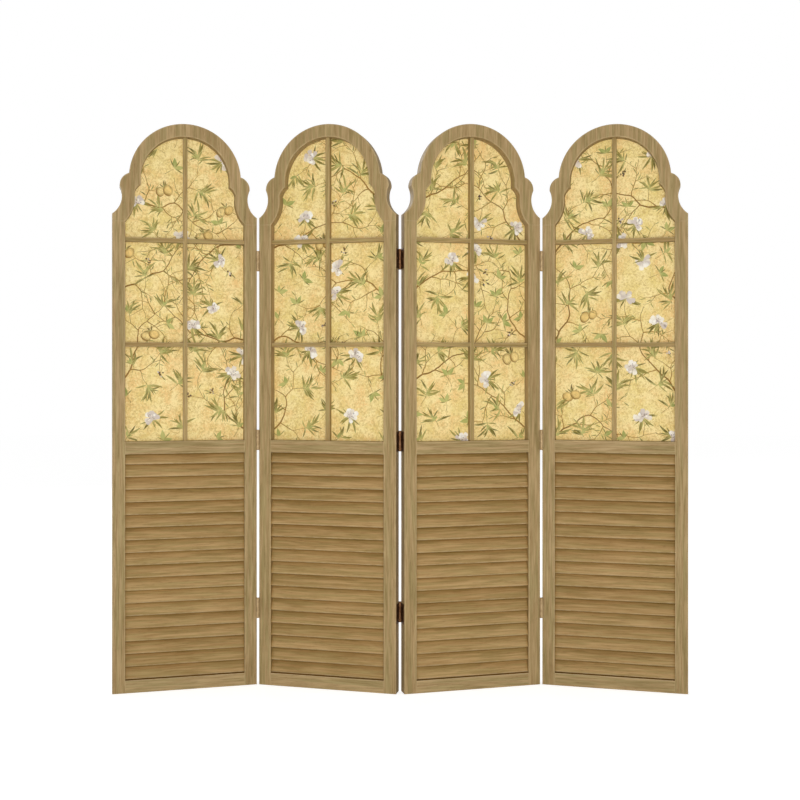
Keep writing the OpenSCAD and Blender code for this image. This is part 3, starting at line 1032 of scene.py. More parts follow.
@dataclass
class LeafFrame(LeafPart):
    """The stiles, the rails and the arched head of one leaf.

    The stiles and the head start from the same seed, and so they share one look.
    """

    seeds: int = 83
    foot_arris: float = 0.6
    near: float = 0.01
    # Painted shade on the bottom rail's top behind the lowest slat, past DEEP, so a dark painted shadow.
    rail_painted_shade: float = 6.0
    rail_bias: float = 0.15

    @property
    def spring(self) -> float:
        """Height at which the head stands on the stiles."""
        return HeadCurve.inner(self.leaf).foot()

    def stile_outline(self, inner: float) -> list[Corner]:
        """Draws the left stile.

        Args:
            inner: x of the inner edge above the rebate's foot.

        Returns:
            The outline, with its arrises stopped at the rails.
        """
        leaf, top, soft, tight = self.leaf, self.spring, self.leaf.arris, self.leaf.tight
        edge, run = leaf.stile, leaf.run_out
        notch = leaf.opening - leaf.rebate
        return [
            (0, 0, soft, self.foot_arris),
            (edge, 0, self.foot_arris, tight),
            (edge, leaf.bottom_rail, tight, tight),
            (edge, leaf.bottom_rail + run, soft, soft),
            (edge, leaf.mid_rail - run, soft, soft),
            (edge, leaf.mid_rail, tight, tight),
            (edge, notch, tight, tight),
            (inner, notch, tight, tight),
            (inner, leaf.opening, tight, tight),
            (inner, leaf.opening + run, soft, soft),
            (inner, top, soft, tight),
            (0, top, tight, soft),
        ]

    def rail_outline(self, low: float, high: float, under: float) -> list[Corner]:
        """Draws a rail between the stiles.

        Args:
            low: its underside.
            high: its top.
            under: the arris along its underside.

        Returns:
            The outline, with its arrises stopped at the stiles.
        """
        leaf = self.leaf
        left, right = leaf.stile, leaf.width - leaf.stile
        soft, tight, run = leaf.arris, leaf.tight, leaf.run_out
        return [
            (left, low, tight, tight), (left + run, low, under, under),
            (right - run, low, under, under), (right, low, tight, tight),
            (right, high, tight, tight), (right - run, high, soft, soft),
            (left + run, high, soft, soft), (left, high, tight, tight),
        ]

    def head_outline(self, grown: float) -> list[Corner]:
        """Draws the arched head.

        Args:
            grown: how far the rebate cuts into it.

        Returns:
            The outline from the right foot round the outside and back inside.
        """
        leaf, soft, tight = self.leaf, self.leaf.arris, self.leaf.tight
        outside = HeadCurve.outer(leaf).whole(self.spring)
        inside = HeadCurve.inner(leaf, grown).whole(self.spring)[::-1]
        run = [(leaf.middle + x, z, soft, soft) for x, z in outside + inside]
        starts, ends = (0, len(outside)), (len(outside) - 1, -1)
        for at in starts:
            run[at] = (*run[at][:2], tight, soft)
        for at in ends:
            run[at] = (*run[at][:2], soft, tight)
        return run

    def members(self) -> dict[str, Board]:
        """Draws the five members, with painted shade on the sides that lie beside the louvres.

        Returns:
            The boards, by their CAD node's name without the leaf's number.
        """
        leaf, near = self.leaf, self.near
        deep = {"low": 0.0, "high": leaf.thickness}
        rebated = {**deep, "step": leaf.bars_back}
        stile, cut = self.stile_outline(leaf.stile), self.stile_outline(leaf.stile - leaf.rebate)
        stile_right, cut_right = mirrored(stile, leaf.width), mirrored(cut, leaf.width)
        rail = self.rail_outline(leaf.mid_rail, leaf.opening, leaf.arris)
        rail_cut = self.rail_outline(leaf.mid_rail, leaf.opening - leaf.rebate, leaf.arris)
        # Zones with painted shade: the stiles' sides beside the louvres, and the bottom rail's top.
        beside = (0.0, leaf.mid_rail + 1.0)
        left = (leaf.stile - near, leaf.stile + near, *beside)
        right = (leaf.width - leaf.stile - near, leaf.width - leaf.stile + near, *beside)
        above = (0.0, leaf.width, leaf.bottom_rail - near, leaf.bottom_rail + near)
        return {
            "stile_left": Board(stile, **rebated, back=cut, deep=left, deep_painted_shade=1.0),
            "stile_right": Board(stile_right, **rebated, back=cut_right, deep=right, deep_painted_shade=1.0),
            "arch_head": Board(self.head_outline(0.0), **rebated, back=self.head_outline(leaf.rebate)),
            "mid_rail": Board(rail, **rebated, fibre=Fibre.LEVEL, back=rail_cut),
            "bottom_rail": Board(
                self.rail_outline(0.0, leaf.bottom_rail, self.foot_arris), **deep,
                fibre=Fibre.LEVEL, deep=above, deep_painted_shade=self.rail_painted_shade, bias=self.rail_bias,
            ),
        }

    def build(self) -> None:
        """Builds the five members and puts them on the leaf."""
        number, oak = self.standing.number, self.finishes
        for order, (member, board) in enumerate(self.members().items()):
            seed = number * self.seeds + max(order - 2, 0)
            # Sides deep in painted shadow take the oak without sheen.
            finishes = (oak.frame, oak.recess) if board.deep_painted_shade > WoodFinish.DEEP else (oak.frame,)
            self.join(member, "wood", [board], seed, "frame_wood", *finishes)


@dataclass
class GlazingBars(LeafPart):
    """The upright bar and the two level bars, half-lapped where they cross."""

    face: float = 13.0
    heights: tuple[float, float] = (1097.5, 1429.5)
    arris: float = 1.3
    gap: float = 0.1
    margin: float = 1.5
    level_bias: float = -0.15
    first_seed: int = 20

    def upright(self) -> Board:
        """Draws the upright, notched behind for the level bars."""
        leaf, half, soft = self.leaf, self.face / 2, self.arris
        front, back = leaf.bars_front, leaf.bars_back
        lap = (front + back) / 2
        top = leaf.crown_z - leaf.drop + math.sqrt((leaf.crown - leaf.ring) ** 2 - half**2)
        outline = [(leaf.opening, front), (top, front), (top, back)]
        for z in reversed(self.heights):
            outline += [(z + half, back), (z + half, lap), (z - half, lap), (z - half, back)]
        outline.append((leaf.opening, back))
        corners = [(p, q, soft, soft) for p, q in outline]
        low = leaf.middle - half
        return Board(corners, low, low + self.face, plane=Plane.SIDE, margin=self.margin)

    def level(self, z: float) -> Board:
        """Draws the level bar at a height, notched in front for the upright."""
        leaf, half, soft = self.leaf, self.face / 2, self.arris
        front, back = leaf.bars_front, leaf.bars_back
        lap = (front + back) / 2 + self.gap
        left, right = leaf.middle - half - self.gap, leaf.middle + half + self.gap
        outline = [
            (leaf.stile, front), (left, front), (left, lap), (right, lap), (right, front),
            (leaf.width - leaf.stile, front), (leaf.width - leaf.stile, back), (leaf.stile, back),
        ]
        corners = [(p, q, soft, soft) for p, q in outline]
        lie = {"fibre": Fibre.LEVEL, "plane": Plane.PLAN}
        return Board(corners, z - half, z + half, **lie, margin=self.margin, bias=self.level_bias)

    def build(self) -> None:
        """Builds the bars and puts them on the leaf."""
        nodes = {"glazing_upright": [self.upright()], "glazing_bars": [self.level(z) for z in self.heights]}
        for order, (node, boards) in enumerate(nodes.items()):
            seed = self.standing.seed(self.first_seed + order)
            self.join(node, "wood", boards, seed, "bar_wood", self.finishes.bar)


@dataclass
class RetainingBeads(LeafPart):
    """The four beads that hold the printed board in from the back."""

    width: float = 14.0
    fit: float = 0.1
    arris: float = 0.6
    margin: float = 0.4
    first_seed: int = 30

    def bead(self, outline: list[Point], fibre: Fibre = Fibre.UPRIGHT) -> Board:
        """Gives a bead's outline its thickness and its arrises."""
        corners = [(x, z, self.arris, self.arris) for x, z in outline]
        return Board(corners, self.leaf.board_back, self.leaf.thickness, fibre, margin=self.margin)

    def build(self) -> None:
        """Builds the beads and puts them on the leaf."""
        leaf = self.leaf
        edge = leaf.rebate - self.fit
        low, spring = leaf.opening - edge, HeadCurve.inner(leaf).foot()
        left, right = leaf.stile - edge, leaf.width - leaf.stile + edge
        beads = []
        for x0, x1, top, fibre in (
            (left, left + self.width, spring - self.fit, Fibre.UPRIGHT),
            (right - self.width, right, spring - self.fit, Fibre.UPRIGHT),
            (left + self.width + self.fit, right - self.width - self.fit, low + self.width, Fibre.LEVEL),
        ):
            beads.append(self.bead([(x0, low), (x1, low), (x1, top), (x0, top)], fibre))
        ring = HeadCurve.inner(leaf, edge).whole(spring)
        ring += HeadCurve.inner(leaf, edge - self.width).whole(spring)[::-1]
        beads.append(self.bead([(leaf.middle + x, z) for x, z in ring]))
        seed = self.standing.seed(self.first_seed)
        self.join("retaining_beads", "wood", beads, seed, "bar_wood", self.finishes.bar)


# ---------------------------------------------------------------- geometry nodes


@dataclass
class Recipe:
    """A geometry node tree with named inputs, run once to make a mesh."""

    name: str
    inputs: dict[str, str]

    def start(self) -> Started:
        """Starts the tree.

        Returns:
            The canvas, the inputs' sockets by name, and the output node.
        """
        tree = bpy.data.node_groups.new(self.name, "GeometryNodeTree")
        tree.is_modifier = True
        tree.interface.new_socket("Geometry", in_out="OUTPUT", socket_type="NodeSocketGeometry")
        for label, kind in self.inputs.items():
            tree.interface.new_socket(label, in_out="INPUT", socket_type=kind)
        canvas = Canvas(tree)
        return canvas, dict(canvas.add("NodeGroupInput").outputs.items()), canvas.add("NodeGroupOutput")

    @staticmethod
    def run(
        tree: bpy.types.NodeTree, name: str, values: dict[str, Feed], base: bpy.types.Mesh | None = None
    ) -> bpy.types.Mesh:
        """Runs a tree and keeps what it makes as a plain mesh.

        Args:
            tree: the geometry node tree.
            name: the new mesh's name.
            values: the tree's inputs, by name.
            base: the mesh that the tree starts from.

        Returns:
            The mesh that the tree made.
        """
        bench = new_object("bench", base or bpy.data.meshes.new("bench"))
        modifier = bench.modifiers.new("build", "NODES")
        modifier.node_group = tree
        for item in tree.interface.items_tree:
            if item.in_out == "INPUT" and item.name in values:
                modifier[item.identifier] = values[item.name]
        graph = bpy.context.evaluated_depsgraph_get()
        mesh = bpy.data.meshes.new_from_object(
            bench.evaluated_get(graph), preserve_all_data_layers=True, depsgraph=graph
        )
        mesh.name = name
        bench.modifiers.clear()
        bpy.data.objects.remove(bench)
        return mesh


@dataclass
class LouvreBank(LeafPart):
    """The fixed louvre slats under the middle rail.

    A slat gets painted shade upwards, where the next one covers it, from the height that
    SHADE_START and SHADE_RUN give as shares of its width. The top one gets more painted shade.
    """

    count: int = 18
    pitch: float = 39.8
    lowest: float = 41.6
    thickness: float = 8.0
    width: float = 52.0
    tilt: float = 27.0
    inset: float = 5.0
    housed: float = 1.0

    ROUNDING = 0.499
    NOSE = (-0.42, -0.5)
    SHADE_START, SHADE_RUN = 0.15, 0.41
    TOP_SHADE = 0.4
    SHIFTS = ((-9.0, -9.0, -9.0), (9.0, 9.0, 9.0))
    TONES = (-0.22, 0.16)

    @classmethod
    def slat(cls, canvas: Canvas, given: dict[str, Socket]) -> Socket:
        """Draws one slat along x, with the attributes that the wood reads.

        Args:
            canvas: the tree's canvas.
            given: its inputs.

        Returns:
            The slat's geometry.
        """
        sides = {"Width": given["Thickness"], "Height": given["Width"]}
        outline = canvas.add("GeometryNodeCurvePrimitiveQuadrilateral", sides).outputs[0]
        radius = canvas.sum("MULTIPLY", given["Thickness"], cls.ROUNDING)
        bend = {"Curve": outline, "Radius": radius, "Count": 5}
        rounded = canvas.add("GeometryNodeFilletCurve", bend, mode="POLY")
        line = canvas.add("GeometryNodeCurvePrimitiveLine", {"End": canvas.vector(X=given["Length"])})
        sweep = {"Curve": line.outputs[0], "Profile Curve": rounded.outputs[0], "Fill Caps": True}
        slat = canvas.add("GeometryNodeCurveToMesh", sweep).outputs[0]
        here = canvas.add("GeometryNodeInputPosition").outputs[0]
        spot = canvas.add("ShaderNodeSeparateXYZ", {0: here}).outputs
        plank = canvas.vector(X=spot["Z"], Y=spot["Y"], Z=spot["X"])
        height = canvas.sum("DIVIDE", spot["Z"], given["Width"])
        edge = {"Value": height, "From Min": cls.NOSE[0], "From Max": cls.NOSE[1]}
        nose = canvas.add("ShaderNodeMapRange", edge).outputs[0]
        # Painted shade up the slat, where the next slat covers it.
        covered = canvas.sum("DIVIDE", canvas.sum("ADD", height, cls.SHADE_START), cls.SHADE_RUN)
        # along runs from -1 to 1 over the slat, for painted shade at its ends by the stiles.
        along = canvas.sum("DIVIDE", spot["X"], canvas.sum("MULTIPLY", given["Length"], 0.5))
        slat = canvas.keep(slat, "grain", canvas.stretched(plank, MM, MM, MM), "FLOAT_VECTOR")
        slat = canvas.keep(slat, "arris", nose)
        slat = canvas.keep(slat, "hollow", covered)
        return canvas.keep(slat, "along", canvas.sum("SUBTRACT", along, 1.0))

    @classmethod
    def tree(cls, canvas: Canvas, given: dict[str, Socket], out: bpy.types.Node) -> bpy.types.NodeTree:
        """Spaces the slats up the leaf and cuts each from its own plank.

        Args:
            canvas: the tree's canvas.
            given: its inputs.
            out: its output node.

        Returns:
            The finished tree.
        """
        rise = canvas.vector(Z=given["Pitch"])
        row = {"Count": given["Count"], "Start Location": given["Start"], "Offset": rise}
        spots = canvas.add("GeometryNodeMeshLine", row).outputs[0]
        lean = canvas.vector(X=canvas.sum("MULTIPLY", given["Tilt"], -1.0))
        stack = {"Points": spots, "Instance": cls.slat(canvas, given), "Rotation": lean}
        placed = canvas.add("GeometryNodeInstanceOnPoints", stack).outputs[0]
        order = canvas.add("GeometryNodeInputIndex").outputs[0]
        for label, kind, (low, high), slots in (
            ("shift", "FLOAT_VECTOR", cls.SHIFTS, (0, 1, 0)), ("tone", "FLOAT", cls.TONES, (2, 3, 1)),
        ):
            feeds = {slots[0]: low, slots[1]: high, "ID": order, "Seed": given["Seed"]}
            chance = canvas.add("FunctionNodeRandomValue", feeds, data_type=kind)
            placed = canvas.keep(placed, label, chance.outputs[slots[2]], kind, "INSTANCE")
        # The top slat gets more painted shade, under the middle rail.
        last = canvas.sum("COMPARE", order, canvas.sum("SUBTRACT", given["Count"], 1.0))
        placed = canvas.keep(placed, "shaded", canvas.sum("MULTIPLY", last, cls.TOP_SHADE), domain="INSTANCE")
        real = canvas.add("GeometryNodeRealizeInstances", {"Geometry": placed}).outputs[0]
        shifted = canvas.moved(canvas.kept("grain", "FLOAT_VECTOR"), canvas.kept("shift", "FLOAT_VECTOR"))
        real = canvas.keep(real, "grain", shifted, "FLOAT_VECTOR")
        real = canvas.keep(real, "hollow", canvas.sum("ADD", canvas.kept("hollow"), canvas.kept("shaded")))
        canvas.feed(out.inputs[0], canvas.dressed(real, given["Finish"]))
        return canvas.tree

    def build(self) -> None:
        """Builds the slats and puts them on the leaf."""
        number, leaf = self.standing.number, self.leaf
        lean = math.radians(self.tilt)
        radius, middle = self.thickness / 2, (self.width - self.thickness) / 2
        start = (
            leaf.stile - self.housed,
            self.inset + radius + middle * math.sin(lean),
            self.lowest + radius + middle * math.cos(lean),
        )
        inputs = {
            "Count": ("Int", self.count), "Pitch": ("Float", self.pitch), "Width": ("Float", self.width),
            "Length": ("Float", leaf.width - 2 * (leaf.stile - self.housed)),
            "Thickness": ("Float", self.thickness), "Tilt": ("Float", lean), "Start": ("Vector", start),
            "Seed": ("Int", number), "Finish": ("Material", self.finishes.slat),
        }
        recipe = Recipe("louvre_bank", {label: "NodeSocket" + kind for label, (kind, _) in inputs.items()})
        values = {label: value for label, (_, value) in inputs.items()}
        mesh = recipe.run(self.tree(*recipe.start()), f"louvre_slats_{number}_wood", values)
        soften(mesh, self.standing.place)
        self.show(mesh, "slat_wood", f"louvre_slats_{number}")


# ---------------------------------------------------------------- the print


class Motif(Enum):
    """The shapes that the print is put together from."""

    NARROW = 0
    BROAD = 1
    PETAL = 2
    FRUIT = 3
    BUD = 4

    @property
    def marking(self) -> Marking:
        """How the ink runs over the shape."""
        markings = (Marking.VEINED, Marking.VEINED, Marking.RUFFLED, Marking.ROUND, Marking.PLAIN)
        return markings[self.value]

    def outline(self) -> list[Point]:
        """Draws the shape one unit long, anticlockwise, growing up from its base."""
        match self:
            case Motif.NARROW:
                rows = [(0.0, 0.012), (0.18, 0.055), (0.42, 0.082), (0.68, 0.065), (0.88, 0.03)]
                bend = 0.24
            case Motif.BROAD:
                rows = [(0.0, 0.02), (0.1, 0.13), (0.28, 0.23), (0.5, 0.24), (0.74, 0.14), (0.9, 0.05)]
                bend = 0.1
            case Motif.PETAL:
                rows = [(0.0, 0.05), (0.25, 0.17), (0.5, 0.27), (0.64, 0.33), (0.72, 0.3), (0.86, 0.34),
                        (0.88, 0.22), (0.98, 0.2), (0.92, 0.09)]
                bend = 0.0
            case Motif.FRUIT:
                turns = (step * math.tau / 18 for step in range(18))
                return [(0.5 * math.cos(t) * (1 + 0.06 * math.cos(2 * t)), 0.5 * math.sin(t)) for t in turns]
            case _:
                rows = [(0.0, 0.05), (0.25, 0.2), (0.55, 0.24), (0.85, 0.1)]
                bend = 0.05
        right = [(half + bend * z * z, z) for z, half in rows]
        left = [(bend * z * z - half, z) for z, half in reversed(rows)]
        return [*right, (bend, 1.0), *left]

    def stamp(self) -> bpy.types.Object:
        """Makes the shape a closed slab one unit thick, with its outline kept in it."""
        outline = self.outline()
        count = len(outline)
        mesh = bpy.data.meshes.new(f"motif_{self.name.lower()}")
        points = [(x, y, z) for y in (-1.0, 0.0) for x, z in outline]
        walls = [(at, at + count, (at + 1) % count + count, (at + 1) % count) for at in range(count)]
        mesh.from_pydata(points, [], [range(count), range(2 * count - 1, count - 1, -1), *walls])
        rise = 2 if self is Motif.FRUIT else 1
        store(mesh, "motif", [value for x, _, z in points for value in (x * 2, 0.0, z * rise)])
        return new_object(mesh.name, mesh)


def ahead(spot: Point, turn: float, reach: float) -> Point:
    """Gives the point some way off, at an angle from straight up, clockwise."""
    return spot[0] + reach * math.sin(turn), spot[1] + reach * math.cos(turn)


@dataclass(frozen=True)
class Mark:
    """One printed motif: its shape, place, turn, size and tint."""

    motif: Motif
    spot: Point
    turn: float
    length: float
    width: float
    tint: Colour


@dataclass
class Spray:
    """Grows one panel's print: twigs from both sides, tufts, blossom and fruit."""

    seed: int
    leaf: LeafSizes
    twigs: list[tuple[list[Point], float, Colour]] = field(default_factory=list)
    marks: list[Mark] = field(default_factory=list)
    taken: list[tuple[Point, float]] = field(default_factory=list)
    chance: random.Random = field(init=False)
    sides: list[Point] = field(init=False)

    OLIVES = (paint(122, 108, 38), paint(140, 127, 54), paint(106, 94, 30), paint(156, 142, 70))
    PALES = (paint(168, 170, 92), paint(152, 158, 82), paint(184, 182, 106))
    DARKS = (paint(98, 76, 24), paint(120, 96, 34))
    WHITES = (paint(252, 244, 224), paint(236, 224, 204), paint(255, 250, 238), paint(214, 200, 188))
    GREYS = (paint(176, 162, 158), paint(150, 134, 134))
    BROWNS = (paint(148, 106, 38), paint(160, 118, 48), paint(134, 94, 30))
    GOLDS = (paint(172, 134, 60), paint(184, 144, 70), paint(160, 122, 50))
    FRUITS = (paint(250, 222, 146), paint(244, 210, 130))
    FRUIT_SHADES = (paint(134, 96, 34), paint(150, 112, 46))
    BERRIES = (paint(64, 48, 44), paint(92, 66, 52), paint(228, 216, 208))

    OVERLAP = 0.86
    GAP_TRIES = 900
    TWIG_WIDTH, STEM_WIDTH, TUFT_WIDTH = 5.2, 1.6, 1.8

    def __post_init__(self) -> None:
        """Starts the chance that the growth follows, and maps the opening's sides."""
        self.chance = random.Random(self.seed)
        grown = self.leaf.rebate - 2.0
        self.sides = HeadCurve.inner(self.leaf, grown).points(self.leaf.opening - grown)

    def inside(self, spot: Point, margin: float) -> bool:
        """Tells whether a point is on the board, clear of its edge by a margin."""
        if not self.sides[0][1] + margin < spot[1] < self.sides[-1][1] - margin:
            return False
        at = next(n for n, side in enumerate(self.sides) if side[1] >= spot[1])
        (x0, z0), (x1, z1) = self.sides[at - 1], self.sides[at]
        share = (spot[1] - z0) / max(z1 - z0, 1e-6)
        return abs(spot[0]) < x0 + (x1 - x0) * share - margin

    def room(self, spot: Point, reach: float) -> bool:
        """Tells whether an ornament of some reach fits clear of the others."""
        return self.inside(spot, 4.0) and all(
            math.dist(spot, other) > (reach + kept) * self.OVERLAP for other, kept in self.taken
        )

    def near(self, spot: Point, across: float, down: float, up: float) -> Point:
        """Gives a chance point round another."""
        return spot[0] + self.chance.uniform(-across, across), spot[1] + self.chance.uniform(-down, up)

    def stem(self, points: list[Point], width: float, tints: tuple[Colour, ...]) -> None:
        """Prints a short stem, if all of it is on the board."""
        if all(self.inside(point, 2) for point in points):
            self.twigs.append((points, width, self.chance.choice(tints)))

    def put(
        self, motif: Motif, spot: Point, turn: float, length: float, width: float, tints: tuple[Colour, ...]
    ) -> None:
        """Prints a motif, if both its ends are on the board.

        Args:
            motif: the shape.
            spot: its base, from the leaf's middle and the floor.
            turn: the way it grows, in radians from straight up, clockwise.
            length: its length.
            width: its width beside the shape's own, 1 for the same.
            tints: the tints that it may have.
        """
        if self.inside(spot, 2.0) and self.inside(ahead(spot, turn, length), 2.0):
            side = self.chance.choice((-1, 1))
            self.marks.append(Mark(motif, spot, turn, length, width * side, self.chance.choice(tints)))

    def tuft(self, spot: Point, turn: float) -> None:
        """Prints a sprig of narrow leaves along a short stem, on a pale heart."""
        chance = self.chance
        for _ in range(2):
            way = turn + chance.uniform(-1.2, 1.2)
            self.put(Motif.BROAD, spot, way, chance.uniform(16, 24), 0.9, self.PALES)
        self.stem([ahead(spot, turn, n * 5) for n in range(-2, 5)], self.TUFT_WIDTH, self.OLIVES)
        for step in range(chance.randint(10, 14)):
            side = 1 if step % 2 else -1
            rise = chance.uniform(-8, 17)
            way = turn + side * chance.uniform(0.25, 1.5) * (1.15 - rise / 40)
            length, width = chance.uniform(24, 52), chance.uniform(0.7, 1.05)
            self.put(Motif.NARROW, ahead(spot, turn, rise), way, length, width, self.OLIVES)

    def blossom(self, spot: Point, turn: float) -> None:
        """Prints a ruffled blossom, seen from its side, on its leaves."""
        chance = self.chance
        for _ in range(10):
            way = turn + math.pi + chance.uniform(-1.7, 1.7)
            self.put(Motif.NARROW, spot, way, chance.uniform(26, 56), chance.uniform(0.7, 1.0), self.OLIVES)
        for reach, count, fan in ((25, 9, 3.9), (16, 6, 2.8)):
            for step in range(count):
                way = turn + (step / (count - 1) - 0.5) * fan + chance.uniform(-0.2, 0.2)
                base = self.near(spot, 5, 4, 4)
                self.put(Motif.PETAL, base, way, reach * chance.uniform(0.7, 1.15), 0.85, self.WHITES)
        for _ in range(7):
            heart = self.near(spot, 11, 8, 11)
            self.put(Motif.BUD, heart, turn + chance.uniform(-1.5, 1.5), 6.0, 0.7, self.GREYS)

    def fruits(self, spot: Point, turn: float) -> None:
        """Prints a pair of round fruits, dark along one side, with dark leaves over them."""
        chance = self.chance
        for side, size in ((-1, chance.uniform(24, 30)), (1, chance.uniform(24, 30))):
            x, z = spot[0] + side * 12.5, spot[1] - 0.4 * size + side * 3
            if self.inside((x, z), size / 2 + 4):
                shade, tint = chance.choice(self.FRUIT_SHADES), chance.choice(self.FRUITS)
                self.marks.append(Mark(Motif.FRUIT, (x - 2.2, z - 1.8), turn, size + 1, 1.15, shade))
                self.marks.append(Mark(Motif.FRUIT, (x, z), turn, size, 1.15, tint))
        for way in (-1.3, -0.4, 0.5, 1.4):
            self.put(Motif.NARROW, spot, way, chance.uniform(16, 26), 1.6, self.DARKS)

    def leaves(self, spot: Point, turn: float) -> None:
        """Prints a pair of broad pale leaves with narrow dark ones between them."""
        for side in (-0.8, 0.7):
            self.put(Motif.BROAD, spot, turn + side, self.chance.uniform(24, 36), 0.9, self.PALES)
        for side in (-1.5, -0.1, 1.4):
            self.put(Motif.NARROW, spot, turn + side, self.chance.uniform(20, 34), 0.8, self.OLIVES)

    def berries(self, spot: Point, turn: float) -> None:
        """Prints a cluster of dark berries with pale ones among them."""
        for _ in range(6):
            berry = self.near(spot, 8, 8, 8)
            if self.inside(berry, 6):
                way, size = self.chance.uniform(0, 6), self.chance.uniform(5, 8)
                tint = self.chance.choice(self.BERRIES)
                self.marks.append(Mark(Motif.BUD, berry, way, size, 1.8, tint))
        self.put(Motif.NARROW, spot, turn, 24, 1.0, self.OLIVES)

    def adorn(self, spot: Point, turn: float) -> None:
        """Ends a twig with an ornament, if one fits."""
        choices = (
            (self.tuft, 38, 6), (self.blossom, 40, 2.2), (self.fruits, 34, 0.6),
            (self.leaves, 30, 0.9), (self.berries, 14, 0.4),
        )
        kinds = self.chance.choices(choices, [weight for *_, weight in choices], k=3)
        for draw, reach, _ in kinds:
            if self.room(spot, reach):
                draw(spot, turn)
                self.taken.append((spot, reach))
                return

    def grow(self, spot: Point, turn: float, length: float, width: float, order: int = 0) -> None:
        """Grows a twig, with its forks.

        Args:
            spot: where it starts.
            turn: the way it starts, in radians from straight up, clockwise.
            length: how long it may get.
            width: its width where it starts.
            order: how many forks it is from the stem.
        """
        chance = self.chance
        step, gone = 5.0, 0.0
        fork, side = chance.uniform(26, 46), chance.choice((-1, 1))
        curl = chance.uniform(-0.035, 0.035)
        path = [spot]
        while gone < length and (self.inside(spot, 3.0) or gone < 3 * step):
            turn += curl + chance.uniform(-0.2, 0.2)
            spot = ahead(spot, turn, step)
            path.append(spot)
            gone += step
            if gone > fork and order < 2:
                way = turn + side * chance.uniform(0.6, 1.1)
                self.grow(spot, way, length * chance.uniform(0.3, 0.5), width * 0.66, order + 1)
                turn -= side * chance.uniform(0.15, 0.45)
                side, fork = -side, gone + chance.uniform(34, 58)
            elif order and chance.random() < 0.16:
                way = turn + chance.choice((-1, 1)) * chance.uniform(0.5, 1.1)
                self.put(Motif.NARROW, spot, way, chance.uniform(12, 24), 1.0, self.OLIVES)
        if len(path) > 3:
            self.twigs.append((path, width, chance.choice(self.GOLDS if order else self.BROWNS)))
        self.adorn(spot, turn)

    def fill(self) -> None:
        """Grows the whole panel's print, and then fills its gaps."""
        leaf, chance = self.leaf, self.chance
        side = -1 if self.seed % 2 else 1
        height = leaf.opening + chance.uniform(10, 50)
        while height < leaf.crown_z - 40:
            edge = next(x for x, z in self.sides if z >= height) - 2
            turn = -side * chance.uniform(0.75, 1.25)
            self.grow((side * edge, height), turn, chance.uniform(250, 330), self.TWIG_WIDTH)
            side, height = -side, height + chance.uniform(120, 165)
        fillers = (
            (self.tuft, 42), (self.tuft, 42), (self.tuft, 44),
            (self.leaves, 38), (self.leaves, 40), (self.blossom, 46),
        )
        for _ in range(self.GAP_TRIES):
            x, z = spot = (chance.uniform(-190, 190), chance.uniform(leaf.opening, leaf.height - leaf.ring))
            turn = chance.uniform(-1.2, 1.2)
            draw, reach = chance.choice(fillers)
            if self.room(spot, reach):
                self.taken.append((spot, reach))
                rises = [4 * n for n in reversed(range(9))]
                bent = [(x - n * math.sin(turn + n * 0.0125), z - n * math.cos(turn)) for n in rises]
                self.stem(bent, self.STEM_WIDTH, self.GOLDS)
                draw(spot, turn)


